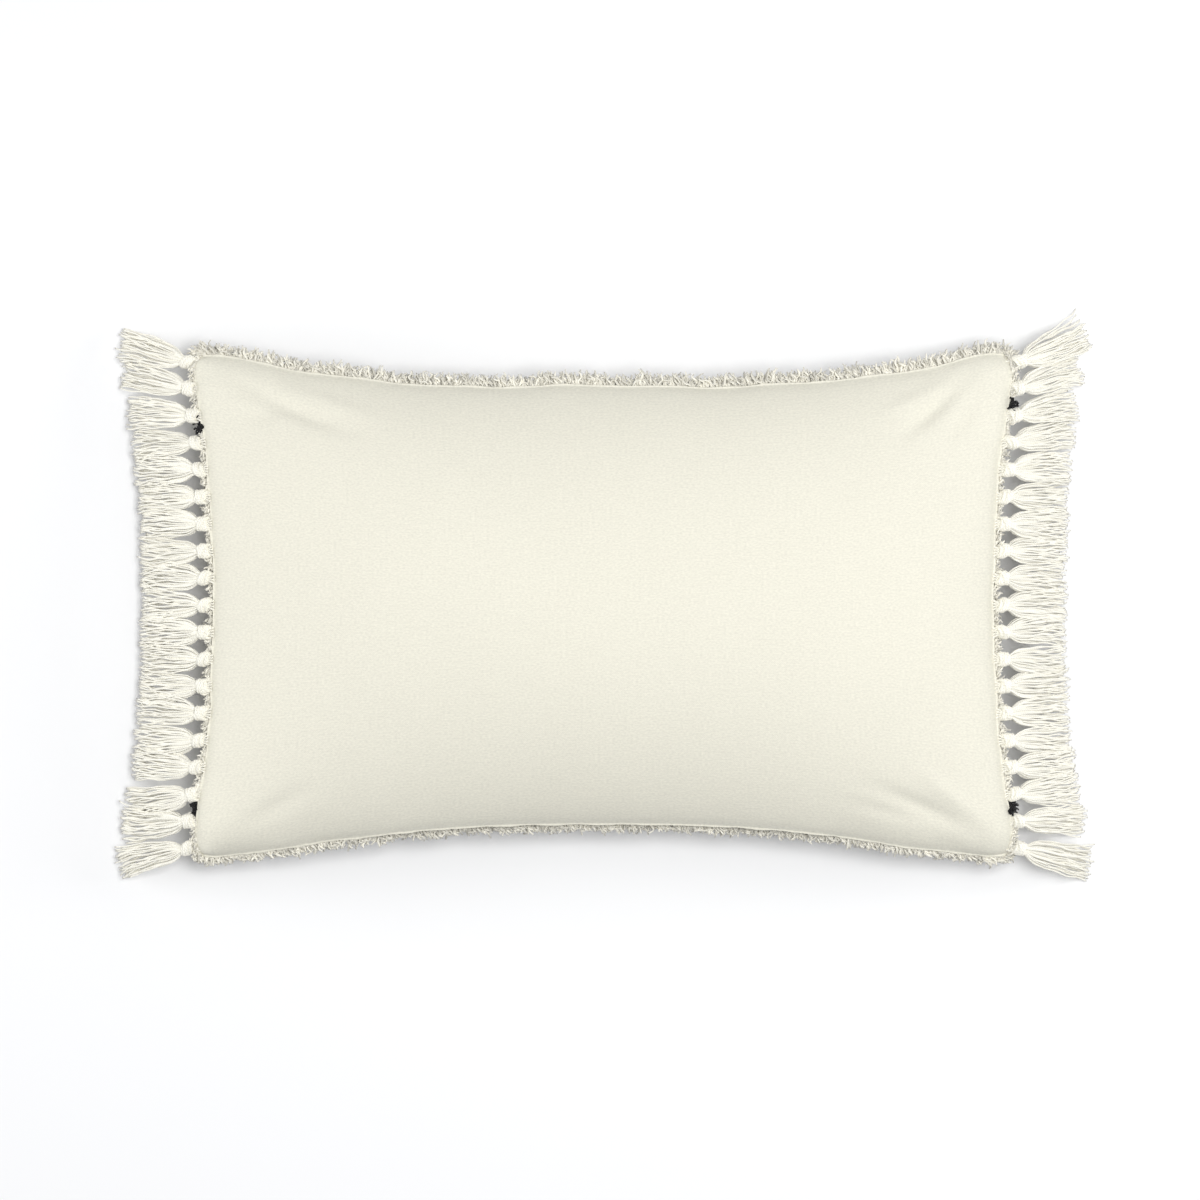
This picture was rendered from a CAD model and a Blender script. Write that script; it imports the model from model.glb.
"""A stuffed lumbar cushion on its tufted front: woven back, pile, knotted tassels, zip and insert."""
import math

import bpy
import numpy as np
from bpy.props import FloatProperty, FloatVectorProperty, IntProperty, PointerProperty
from bpy.types import Operator, Panel, PropertyGroup
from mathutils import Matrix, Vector


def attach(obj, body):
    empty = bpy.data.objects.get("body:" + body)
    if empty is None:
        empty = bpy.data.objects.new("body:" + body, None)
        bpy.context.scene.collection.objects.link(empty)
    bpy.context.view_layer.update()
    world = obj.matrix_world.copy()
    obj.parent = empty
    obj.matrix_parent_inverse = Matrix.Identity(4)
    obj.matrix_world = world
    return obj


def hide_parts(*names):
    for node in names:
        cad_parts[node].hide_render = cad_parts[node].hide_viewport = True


bl_info = {
    "name": "Tasselled Lumbar Cushion",
    "version": (1, 0, 0),
    "blender": (4, 5, 0),
    "location": "View3D > Sidebar > Cushion",
    "description": "Builds a stuffed lumbar cushion with a woven back, a tufted front and knotted tassels",
    "category": "Add Mesh",
}

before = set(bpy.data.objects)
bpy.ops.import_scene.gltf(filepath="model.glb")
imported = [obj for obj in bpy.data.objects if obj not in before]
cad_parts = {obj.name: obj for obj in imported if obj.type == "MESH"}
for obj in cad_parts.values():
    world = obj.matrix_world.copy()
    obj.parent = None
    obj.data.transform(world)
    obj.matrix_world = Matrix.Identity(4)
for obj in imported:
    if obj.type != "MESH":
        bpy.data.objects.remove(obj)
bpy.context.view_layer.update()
MM = 0.001


# --- Settings -----------------------------------------------------------------------------------

def length(name, description, default):
    """A size in metres that the sidebar shows as a distance."""
    return FloatProperty(name=name, description=description, default=default, unit="LENGTH", precision=5)


def share(name, description, default):
    """A number that is a share of a size of the cushion."""
    return FloatProperty(name=name, description=description, default=default, precision=3)


def turn(name, description, default):
    """An angle in radians that the sidebar shows in degrees."""
    return FloatProperty(name=name, description=description, default=default, unit="ROTATION")


def colour(name, description, default):
    """A colour of three linear shares."""
    return FloatVectorProperty(
        name=name, description=description, default=default, subtype="COLOR", size=3, min=0, max=1
    )


def how_many(name, description, default):
    """A count of like things."""
    return IntProperty(name=name, description=description, default=default, min=1)


def strength(name, description, default):
    """The strength of a light that has no unit."""
    return FloatProperty(name=name, description=description, default=default, min=0)


def watts(name, description, default):
    """A light's power in watts."""
    return FloatProperty(name=name, description=description, default=default, unit="POWER", min=0)


class CushionCover(PropertyGroup):
    """The stuffed cover's shape, which is the frame's."""

    half_length: length("Half length", "Middle to the corner along the cushion", 244.7 * MM)
    half_width: length("Half width", "Middle to the corner across the cushion", 153.5 * MM)
    long_pull: length("Long seam pull", "How far stuffing draws in a long seam's middle", 24.4 * MM)
    short_pull: length("Short seam pull", "How far stuffing draws in a short seam's middle", 14.2 * MM)
    seam_height: length("Seam height", "Height of the long seams over the table", 52 * MM)
    end_drop: length("End drop", "How far the seams sag at the cushion's ends", 6 * MM)
    corner_drop: length("Corner drop", "How far a corner sags below its end", 14 * MM)
    corner_round: length("Corner rounding", "How far the turned corner is blunted", 5.5 * MM)
    back_rise: length("Back rise", "Height of the back above its seams", 66 * MM)
    lip_height: length("Zip lips", "Half the gap that the seam leaves for the zip", 3.8 * MM)
    lip_half: length("Zip lips' half length", "Half the length of that gap", 126 * MM)
    cloth: length("Cloth thickness", "Thickness of the woven panels", 0.8 * MM)
    flat_length: length("Cut length", "Length of a panel before it is stuffed", 500 * MM)
    flat_width: length("Cut width", "Width of a panel before it is stuffed", 300 * MM)
    thread_pitch: length("Thread pitch", "Distance from one thread to the next", 0.62 * MM)
    cream: colour("Back cloth", "Colour of the woven back", (0.825, 0.80, 0.687))


class CushionPile(PropertyGroup):
    """The cut tufts of the front, and the dark rows across it."""

    tuft: length("Tuft length", "Length of a cut yarn from the base cloth", 9.5 * MM)
    radius: length("Yarn radius", "Half the thickness of a cut yarn", 0.66 * MM)
    spacing: length("Tuft spacing", "Distance between tufts", 4.3 * MM)
    rim_spacing: length("Rim spacing", "Distance between tufts along a seam", 1.5 * MM)
    far_rim: length("Far rim", "Length of the tufts along the far long seam", 10.5 * MM)
    zip_rim: length("Zip rim", "Length of the tufts along the zip's seam", 8 * MM)
    short_rim: length("Short rim", "Length of the tufts under the tassels", 6.5 * MM)
    rim_rows: how_many("Rim rows", "Rows of tufts along a seam", 4)
    far_row: share("Far dark row", "Place of the far dark row, as a share of the half width", 0.725)
    far_slant: share("Far row's slant", "How far that row moves towards the seam along the cushion", 0.03)
    zip_row: share("Zip dark row", "Place of the dark row near the zip, as a share of the half width", -0.78)
    row_width: share("Row width", "Width of a dark row, as a share of the half width", 0.05)
    ivory: colour("Ivory yarn", "Colour of the pile", (0.93, 0.90, 0.80))
    dark: colour("Dark yarn", "Colour of the dark rows", (0.012, 0.012, 0.013))


class CushionTassels(PropertyGroup):
    """The knotted tassels of the short seams."""

    count: how_many("Count", "Tassels on a short seam", 19)
    size: length("Length", "Neck to tip", 56 * MM)
    neck_out: length("Neck", "Where a tassel turns, outside the seam", 3.2 * MM)
    half_width: length("Half width", "Half of the seam that the tassels are spread over", 149.5 * MM)
    half_length: length("Half length", "Middle to the seams that the tassels hang from", 243.5 * MM)
    short_pull: length("Seam pull", "How far stuffing draws in those seams' middles", 13 * MM)
    corner_round: length("Corner rounding", "How far the turned corner is blunted", 2.5 * MM)
    outermost: share("Outermost", "Place of the last tassel, as a share of the half width", 0.96)
    corner_splay: turn("Corner splay", "How far the last tassels turn outwards", math.radians(22))
    bend: turn("Bend", "How far a tassel curves either way from its mean slope", math.radians(16.5))
    tip: length("Tip height", "Height of the tips over the table", 4.2 * MM)
    tip_lift: length("Tip lift", "How much higher the middle tips lie", 5 * MM)
    strands: how_many("Yarns", "Yarns in a tassel", 42)
    radius: length("Yarn radius", "Half the thickness of a yarn", 0.48 * MM)
    knot_wide: length("Knot half width", "Half the width of the knot", 4.7 * MM)
    knot_high: length("Knot half height", "Half the height of the knot", 4.3 * MM)
    cream: colour("Yarn", "Colour of the tassels", (0.985, 0.962, 0.868))


class CushionZip(PropertyGroup):
    """The zip in the seam at -Y."""

    size: length("Zip length", "End to end", 260 * MM)
    across: length("Zip place", "Where it runs, towards the far seam", -128.2 * MM)
    height: length("Zip height", "Height over the table", 51.7 * MM)
    coil_rise: length("Coil height", "Height of a coil over the zip's middle", 1.15 * MM)
    coil_radius: length("Coil radius", "Outer radius of a coil", 0.82 * MM)
    coil_pitch: length("Coil pitch", "Distance between turns", 1.35 * MM)
    slider_x: length("Slider place", "Middle of the slider when shut", 118 * MM)
    pin_x: length("Pin place, along", "Where the pull tab turns", 116.5 * MM)
    pin_y: length("Pin place, across", "Where the pull tab turns", -131.7 * MM)
    tape: colour("Tape", "Colour of the tapes", (0.80, 0.77, 0.68))
    nylon: colour("Coils", "Colour of the nylon", (0.74, 0.72, 0.63))
    metal: colour("Metal", "Colour of the slider", (0.42, 0.42, 0.43))


class CushionInsert(PropertyGroup):
    """The stuffed inner cushion."""

    inset: length("Inset", "How far it stays inside the cover's seams", 13 * MM)
    floor: length("Floor", "Height of its underside over the table", 6.6 * MM)
    casing: length("Casing thickness", "Thickness of its cloth", 0.6 * MM)
    less_rise: length("Less rise", "How much lower it is than the cover", 4 * MM)
    white: colour("Casing", "Colour of the casing", (0.86, 0.87, 0.88))
    fibre: colour("Filling", "Colour of the filling", (0.93, 0.94, 0.95))


class CushionStage(PropertyGroup):
    """The floor, the lights and the camera."""

    fill: strength("Fill", "Strength of the light from all round", 0.25)
    right: watts("Right", "Power of the soft light on the right", 8.5)
    left: watts("Left", "Power of the soft light on the left", 13.5)
    top: watts("Top", "Power of the soft light above", 41)
    floor_glow: strength("Floor glow", "Light that the floor gives off", 0.06)
    floor: colour("Floor", "Colour of the floor", (0.845, 0.845, 0.85))
    camera_height: length("Camera height", "Height over the table", 2.65)
    view_width: length("View width", "What the camera sees at the seams' height", 0.706)


# --- The cushion's shape ------------------------------------------------------------------------

SEAM_GAP = 0.15 * MM
RIM = 1.05 * MM
LAYER_GAP = 0.2 * MM
PILE_DEPTH = 5 * MM
FRONT_FLOOR = PILE_DEPTH + LAYER_GAP


def smooth_step(t):
    """Rises from 0 to 1 with level ends."""
    t = np.clip(t, 0, 1)
    return t * t * (3 - 2 * t)


def pulled(t, power=2.5, blunt=1.3):
    """Share of the pull at a share t of a seam's half length: 1 in the middle, 0 at the corners."""
    return (1 - np.minimum(1, np.abs(t)) ** power) ** blunt


def seam_sway(t, seed):
    """How a sewn seam wanders, from -1 to 1: two sines along it."""
    return 0.6 * np.sin(11 * t + seed) + 0.4 * np.sin(25 * t + 2 * seed)


def seam_z(c, u, v):
    """The seams' height, which sags towards the ends as a fourth power and at the corners as a sixth."""
    return c.seam_height - c.end_drop * np.abs(u) ** 4 - c.corner_drop * np.abs(u * v) ** 6


def plan(c, u, v, grow_x=0.0, grow_y=0.0):
    """Plan place of the shares u along and v across; a layer's corners stand grow_x, grow_y outside."""
    rounding = c.corner_round * np.abs(u * v) ** 16
    x = u * (c.half_length + grow_x - c.short_pull * pulled(v)) - np.sign(u) * rounding
    pull = c.long_pull * np.where(v > 0, pulled(u, 4.2, 1.5), pulled(u))
    calm = np.where(v > 0, 1, smooth_step((np.abs(u) - 0.5) / 0.15))
    wander = 1.1 * MM * seam_sway(u, 1 + (v > 0)) * calm * v * np.abs(v) ** 5
    y = v * (c.half_width + grow_y - pull) - np.sign(v) * rounding + wander
    x = x + 0.7 * MM * seam_sway(v, 4 + (u > 0)) * u * np.abs(u) ** 9
    return x, y


def crown(u, v):
    """Share of the full height: a flat-topped arch along the cushion times a round one across it."""
    along = (1 - np.minimum(1, np.abs(u)) ** 2.6) ** 0.75
    return along * (1 - np.minimum(1, v * v)) ** 0.85


def lips(c, u, v):
    """How far the zip holds the panels apart, strongest in the seam at v = -1."""
    run_out = 18 * MM
    inside = 1 - smooth_step((np.abs(u) * c.half_length - c.lip_half) / run_out)
    return np.where(v > 0, 0, c.lip_height * np.abs(v) ** 20 * inside)


def layer(c, u, v, grow_x, grow_y, edge, rise, side, floor=0.0):
    """Points of a layer above (side 1) or below (side -1) the seams, never under the height floor."""
    x, y = plan(c, u, v, grow_x, grow_y)
    seam = seam_z(c, u * (1 + grow_x / c.half_length), v * (1 + grow_y / c.half_width))
    z = seam + side * (edge + lips(c, u, v) + rise * crown(u, v))
    return np.stack([x, y, np.maximum(z, floor)], -1)


# --- Mesh helpers -------------------------------------------------------------------------------

def unit(vectors):
    """Vectors of length one."""
    return vectors / np.maximum(np.linalg.norm(vectors, axis=-1, keepdims=True), 1e-12)


def make_mesh(name, points, faces, uv=None, marks=None):
    """A mesh from points and a list of face arrays, one array for each number of corners.

    uv is a list of arrays that match faces, with two numbers for each corner. marks holds named
    numbers, one for each point.
    """
    mesh = bpy.data.meshes.new(name)
    points = np.asarray(points, np.float32).reshape(-1, 3)
    corners = np.concatenate([f.ravel() for f in faces]).astype(np.int32)
    sizes = np.concatenate([np.full(len(f), f.shape[1]) for f in faces]).astype(np.int32)
    mesh.vertices.add(len(points))
    mesh.vertices.foreach_set("co", points.ravel())
    mesh.loops.add(len(corners))
    mesh.loops.foreach_set("vertex_index", corners)
    mesh.polygons.add(len(sizes))
    mesh.polygons.foreach_set("loop_start", (np.cumsum(sizes) - sizes).astype(np.int32))
    if uv is not None:
        flat = np.concatenate([a.reshape(-1, 2) for a in uv]).astype(np.float32)
        mesh.uv_layers.new(name="cloth_uv").data.foreach_set("uv", flat.ravel())
    for key, values in (marks or {}).items():
        attribute = mesh.attributes.new(key, "FLOAT", "POINT")
        attribute.data.foreach_set("value", np.asarray(values, np.float32).ravel())
    mesh.polygons.foreach_set("use_smooth", np.ones(len(sizes), bool))
    mesh.update(calc_edges=True)
    mesh.validate()
    return mesh


def make_piece(name, mesh, material, body, nodes=()):
    """Puts a mesh into the scene as a piece that rides on a body and stands for CAD nodes."""
    piece = bpy.data.objects.new(name, mesh)
    bpy.context.scene.collection.objects.link(piece)
    piece.data.materials.append(material)
    if body:
        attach(piece, body)
    if nodes:
        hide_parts(*nodes)
    return piece


def assembled(name, parts, material, body, node, shade=None, faceted=False):
    """A piece made of closed parts. Shade sets each yarn's tone, and a faceted piece shades flat."""
    points, faces, uvs = joined(parts)
    marks = None if shade is None else {"shade": np.broadcast_to(shade, len(points))}
    mesh = make_mesh(name, points, faces, uvs, marks)
    if faceted:
        mesh.polygons.foreach_set("use_smooth", np.zeros(len(mesh.polygons), bool))
    return make_piece(name, mesh, material, body, [node])


def cushioned(piece, thickness=0.0):
    """Declares a padded piece, after its sheet has been given a thickness inwards."""
    if thickness:
        solid = piece.modifiers.new("thickness", "SOLIDIFY")
        solid.thickness, solid.offset = thickness, -1


def circle(count):
    """Evenly spaced angles, once round."""
    return 2 * np.pi * np.arange(count) / count


def grid_faces(rows, columns, flip=False, closed=False):
    """Quads of a grid of rows by columns; a closed grid joins its last column to its first."""
    i = np.arange(rows - 1)[:, None]
    j = np.arange(columns if closed else columns - 1)[None, :]
    k = (j + 1) % columns
    quads = np.stack([i * columns + j, (i + 1) * columns + j, (i + 1) * columns + k, i * columns + k], -1)
    quads = quads.reshape(-1, 4)
    return quads[:, ::-1] if flip else quads


def border_loop(index):
    """The border of a grid of indices, once round."""
    return np.concatenate([index[:-1, 0], index[-1, :-1], index[:0:-1, -1], index[0, :0:-1]])


def tube_frames(paths):
    """Two directions square to each path, carried along it without twist."""
    tangent = unit(np.gradient(paths, axis=1))
    start = tangent[:, 0]
    other = np.eye(3)[np.argmin(np.abs(start), axis=1)]
    side = np.empty_like(tangent)
    side[:, 0] = unit(np.cross(start, other))
    for ring in range(1, paths.shape[1]):
        t = tangent[:, ring]
        before = side[:, ring - 1]
        side[:, ring] = unit(before - (before * t).sum(-1, keepdims=True) * t)
    return side, np.cross(tangent, side)


def tubes(paths, radii, sides=5, closed=False):
    """Round tubes along many paths: points, face arrays and their UVs.

    paths is (tubes, rings, 3). A ring's points stand a radius from the path. UV runs once round the
    tube, and along it in metres. A closed path joins its last ring to its first, and an open one ends
    in flat caps.
    """
    count, rings, _ = paths.shape
    side, up = tube_frames(paths)
    angle = circle(sides)
    radii = np.broadcast_to(radii, (count, rings))[:, :, None, None]
    wide = radii * np.cos(angle)[None, None, :, None]
    high = radii * np.sin(angle)[None, None, :, None]
    points = paths[:, :, None] + wide * side[:, :, None] + high * up[:, :, None]
    tube = np.arange(count)[:, None, None] * rings * sides
    i = np.arange(rings if closed else rings - 1)[None, :, None]
    j = np.arange(sides)[None, None, :]
    i2, j2 = (i + 1) % rings, (j + 1) % sides
    quads = np.stack(
        np.broadcast_arrays(
            tube + i * sides + j, tube + i * sides + j2, tube + i2 * sides + j2, tube + i2 * sides + j
        ),
        -1,
    ).reshape(-1, 4)
    steps = np.linalg.norm(np.diff(paths, axis=1), axis=-1)
    run = np.concatenate([np.zeros((count, 1)), np.cumsum(steps, 1)], 1)
    if closed:
        last = run[:, -1:] + np.linalg.norm(paths[:, 0] - paths[:, -1], axis=-1)[:, None]
        run = np.concatenate([run, last], 1)
    low, high = run[:, :-1, None], run[:, 1:, None]
    around = np.broadcast_to(j / sides, (count, low.shape[1], sides))
    uv = np.stack(
        [
            np.stack(np.broadcast_arrays(around, low), -1),
            np.stack(np.broadcast_arrays(around + 1 / sides, low), -1),
            np.stack(np.broadcast_arrays(around + 1 / sides, high), -1),
            np.stack(np.broadcast_arrays(around, high), -1),
        ],
        -2,
    ).reshape(-1, 4, 2)
    faces, uvs = [quads], [uv]
    if not closed:
        ring = np.arange(sides)
        first = (np.arange(count) * rings * sides)[:, None] + ring[::-1]
        final = (np.arange(count) * rings * sides)[:, None] + (rings - 1) * sides + ring
        faces.append(np.concatenate([first, final]))
        uvs.append(np.zeros((2 * count, sides, 2)))
    return points.reshape(-1, 3), faces, uvs


def joined(parts):
    """One set of points, faces and UVs from several, with the faces of each shifted to its points."""
    points, by_size = [], {}
    start = 0
    for part_points, faces, uvs in parts:
        points.append(part_points)
        for f, t in zip(faces, uvs):
            held = by_size.setdefault(f.shape[1], ([], []))
            held[0].append(f + start)
            held[1].append(t)
        start += len(part_points)
    faces = [np.concatenate(held[0]) for held in by_size.values()]
    uvs = [np.concatenate(held[1]) for held in by_size.values()]
    return np.concatenate(points), faces, uvs


# --- Materials ----------------------------------------------------------------------------------

def put(tree, kind, inputs=None, **settings):
    """A node with settings; its inputs are numbers, colours or other nodes' sockets."""
    made = tree.nodes.new(kind)
    for key, value in settings.items():
        setattr(made, key, value)
    for key, value in (inputs or {}).items():
        if isinstance(value, bpy.types.NodeSocket):
            tree.links.new(value, made.inputs[key])
        else:
            made.inputs[key].default_value = value
    return made


def calc(tree, operation, a, b=0.0, c=0.0):
    """The result socket of one Math node."""
    return put(tree, "ShaderNodeMath", {0: a, 1: b, 2: c}, operation=operation).outputs[0]


def start_group(name, inputs, outputs):
    """A shader node group with named sockets, and the sockets inside it."""
    tree = bpy.data.node_groups.new(name, "ShaderNodeTree")
    for socket, kind, default in inputs:
        made = tree.interface.new_socket(socket, in_out="INPUT", socket_type=kind)
        if default is not None:
            made.default_value = default
    for socket, kind in outputs:
        tree.interface.new_socket(socket, in_out="OUTPUT", socket_type=kind)
    return tree, put(tree, "NodeGroupInput").outputs, put(tree, "NodeGroupOutput").inputs


def group(name, build):
    """The node group of that name, built once."""
    return bpy.data.node_groups.get(name) or build(name)


FLOAT, VECTOR = "NodeSocketFloat", "NodeSocketVector"


def plain_weave(name):
    """Height of a plain weave. A thread's height across itself is half a wave, and along itself a
    cosine that is high where it passes over and low where it dips under. The higher thread shows."""
    tree, given, result = start_group(
        name,
        [("Vector", VECTOR, None), ("Pitch", FLOAT, 0.0006), ("Slub", FLOAT, 0.3)],
        [("Height", FLOAT), ("Slubs", FLOAT), ("Grain", FLOAT)],
    )
    at = put(tree, "ShaderNodeVectorMath", {0: given["Vector"]}, operation="SCALE")
    tree.links.new(calc(tree, "DIVIDE", 1.0, given["Pitch"]), at.inputs["Scale"])
    wander = put(tree, "ShaderNodeTexNoise", {"Vector": at.outputs[0], "Scale": 0.045, "Detail": 2.0})
    moved = put(
        tree, "ShaderNodeVectorMath", {0: wander.outputs["Color"], 1: (0.9, 0.9, 0), 2: at.outputs[0]},
        operation="MULTIPLY_ADD",
    )
    split = put(tree, "ShaderNodeSeparateXYZ", {0: moved.outputs[0]}).outputs
    heights = []
    for across, along in ((split[0], split[1]), (split[1], split[0])):
        bulge = calc(tree, "ABSOLUTE", calc(tree, "SINE", calc(tree, "MULTIPLY", across, math.pi)))
        turn = calc(tree, "MULTIPLY", calc(tree, "ADD", along, calc(tree, "FLOOR", across)), math.pi)
        wave = calc(tree, "COSINE", calc(tree, "ADD", turn, 0.0 if across == split[0] else math.pi / 2))
        over = calc(tree, "MULTIPLY_ADD", wave, 0.3, 0.7)
        heights.append(calc(tree, "MULTIPLY", bulge, over))
    weave = calc(tree, "MAXIMUM", heights[0], heights[1])
    slubs = []
    for stretch in ((0.03, 0.42, 1.0), (0.42, 0.02, 1.0)):
        place = put(tree, "ShaderNodeVectorMath", {0: at.outputs[0], 1: stretch}, operation="MULTIPLY")
        noise = put(tree, "ShaderNodeTexNoise", {"Vector": place.outputs[0], "Scale": 1.0, "Detail": 3.0})
        slubs.append(noise.outputs["Fac"])
    slub = calc(tree, "ADD", calc(tree, "MULTIPLY", slubs[0], 0.65), calc(tree, "MULTIPLY", slubs[1], 0.35))
    lifted = calc(tree, "MULTIPLY_ADD", calc(tree, "SUBTRACT", slub, 0.5), given["Slub"], weave)
    tree.links.new(lifted, result["Height"])
    tree.links.new(slub, result["Slubs"])
    place = put(tree, "ShaderNodeVectorMath", {0: at.outputs[0], 1: (0.34, 0.62, 1.0)}, operation="MULTIPLY")
    grain = put(tree, "ShaderNodeTexNoise", {"Vector": place.outputs[0], "Scale": 1.0, "Detail": 1.0})
    tree.links.new(grain.outputs["Fac"], result["Grain"])
    return tree


def yarn_twist(name):
    """Height of a plied yarn: half waves that wind round it, one for each ply, with fibres on them."""
    tree, given, result = start_group(
        name,
        [("Vector", VECTOR, None), ("Plies", FLOAT, 2.0), ("Pitch", FLOAT, 0.0032), ("Fibre", FLOAT, 0.3)],
        [("Height", FLOAT), ("Groove", FLOAT)],
    )
    split = put(tree, "ShaderNodeSeparateXYZ", {0: given["Vector"]}).outputs
    turns = calc(tree, "ADD", split[0], calc(tree, "DIVIDE", split[1], given["Pitch"]))
    phase = calc(tree, "MULTIPLY", calc(tree, "MULTIPLY", turns, given["Plies"]), math.pi)
    ply = calc(tree, "ABSOLUTE", calc(tree, "SINE", phase))
    around, along = calc(tree, "MULTIPLY", turns, 9.0), calc(tree, "MULTIPLY", split[1], 160.0)
    place = put(tree, "ShaderNodeCombineXYZ", {0: around, 1: along})
    fibre = put(tree, "ShaderNodeTexNoise", {"Vector": place.outputs[0], "Scale": 1.0, "Detail": 2.0})
    height = calc(tree, "MULTIPLY_ADD", fibre.outputs["Fac"], given["Fibre"], ply)
    tree.links.new(height, result["Height"])
    tree.links.new(calc(tree, "POWER", ply, 0.6), result["Groove"])
    return tree


def start_material(name):
    """A material with its Principled shader, ready for its own nodes."""
    made = bpy.data.materials.new(name)
    made.use_nodes = True
    return made, made.node_tree, made.node_tree.nodes["Principled BSDF"]


def surface(shader, values):
    """Sets numbers and colours that are the same all over on the shader's own sockets."""
    for socket, value in values.items():
        shader.inputs[socket].default_value = value


def shaded(tree, colour, factor, low):
    """A colour that falls to a share low of itself as the factor falls from 1 to 0."""
    dark = tuple(x * low for x in colour) + (1,)
    mix = put(tree, "ShaderNodeMix", {"Factor": factor}, data_type="RGBA")
    mix.inputs["A"].default_value = dark
    mix.inputs["B"].default_value = tuple(colour) + (1,)
    return mix.outputs["Result"]


def bump(tree, shader, height, distance):
    """A Bump node from a height socket into the shader's normal."""
    made = put(tree, "ShaderNodeBump", {"Height": height, "Distance": distance, "Strength": 1.0})
    tree.links.new(made.outputs["Normal"], shader.inputs["Normal"])


def woven(tree, pitch, slub=0.3):
    """The plain weave's outputs on a piece's own UV map."""
    uv = put(tree, "ShaderNodeUVMap", uv_map="cloth_uv").outputs[0]
    weave = put(tree, "ShaderNodeGroup", node_tree=group("plain_weave", plain_weave))
    tree.links.new(uv, weave.inputs["Vector"])
    weave.inputs["Pitch"].default_value = pitch
    weave.inputs["Slub"].default_value = slub
    return uv, weave.outputs


def cloth_material(name, colour, pitch, slub=0.25, depth=0.07 * MM, low=0.84):
    """Matt woven cloth: a plain weave with slubs and uneven threads, darker between the threads."""
    made, tree, shader = start_material(name)
    uv, weave = woven(tree, pitch, slub)
    blotch = put(tree, "ShaderNodeTexNoise", {"Vector": uv, "Scale": 9.0, "Detail": 2.0}).outputs["Fac"]
    tone = calc(tree, "ADD", calc(tree, "MULTIPLY", weave["Height"], 0.35), weave["Slubs"])
    tone = calc(tree, "MULTIPLY_ADD", blotch, 0.4, tone)
    tone = calc(tree, "MULTIPLY_ADD", weave["Grain"], 3.0, tone)
    spread = put(tree, "ShaderNodeMapRange", {"Value": tone, "From Min": 1.4, "From Max": 3.2}).outputs[0]
    tree.links.new(shaded(tree, colour, spread, low), shader.inputs["Base Color"])
    surface(shader, {
        "Roughness": 0.92, "Specular IOR Level": 0.15, "Sheen Weight": 0.12, "Sheen Roughness": 0.5,
    })
    bump(tree, shader, weave["Height"], depth)
    return made


def yarn_material(name, colour, pitch=3.2 * MM, low=0.8, depth=0.12 * MM):
    """Matt plied yarn, darker in the grooves between its plies. The mark shade sets each yarn's tone."""
    made, tree, shader = start_material(name)
    uv = put(tree, "ShaderNodeUVMap", uv_map="cloth_uv").outputs[0]
    twist = put(tree, "ShaderNodeGroup", node_tree=group("yarn_twist", yarn_twist))
    tree.links.new(uv, twist.inputs["Vector"])
    twist.inputs["Pitch"].default_value = pitch
    mark = put(tree, "ShaderNodeAttribute", attribute_name="shade").outputs["Fac"]
    tone = calc(tree, "MULTIPLY", twist.outputs["Groove"], mark)
    tree.links.new(shaded(tree, colour, tone, low), shader.inputs["Base Color"])
    surface(shader, {
        "Roughness": 0.9, "Specular IOR Level": 0.15, "Sheen Weight": 0.9, "Sheen Roughness": 0.6,
        "Sheen Tint": (1.0, 0.97, 0.88, 1),
    })
    bump(tree, shader, twist.outputs["Height"], depth)
    return made


def tuft_material(name, colour):
    """Matt cut yarn: loose fibres along it, and a tone of its own for each yarn."""
    made, tree, shader = start_material(name)
    place = put(tree, "ShaderNodeTexCoord").outputs["Object"]
    fibre = put(tree, "ShaderNodeTexNoise", {"Vector": place, "Scale": 1400.0, "Detail": 2.0}).outputs["Fac"]
    mark = put(tree, "ShaderNodeAttribute", attribute_name="shade").outputs["Fac"]
    tone = calc(tree, "MULTIPLY_ADD", fibre, 0.5, calc(tree, "SUBTRACT", mark, 0.25))
    tree.links.new(shaded(tree, colour, tone, 0.55), shader.inputs["Base Color"])
    surface(shader, {"Roughness": 0.95, "Specular IOR Level": 0.12, "Sheen Weight": 0.15})
    bump(tree, shader, fibre, 0.2 * MM)
    return made


# --- The woven back -----------------------------------------------------------------------------

SIM_COLUMNS, SIM_ROWS = 131, 79
SIM_FRAMES = 30
SIM_PRESSURE = 4.0
HEM_INSET = -1.2 * MM
# The rolled hem's outline: how far out of the seam and how high, in millimetres.
HEM = ((0.45, -0.12), (0.95, -0.15), (1.3, -0.65), (1.15, -1.3), (0.3, -1.5))


def seam_shares(count):
    """Shares from -1 to 1, a little closer together near the seams."""
    t = np.linspace(-1, 1, count)
    return 0.6 * t + 0.4 * np.sin(t * np.pi / 2)


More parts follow.
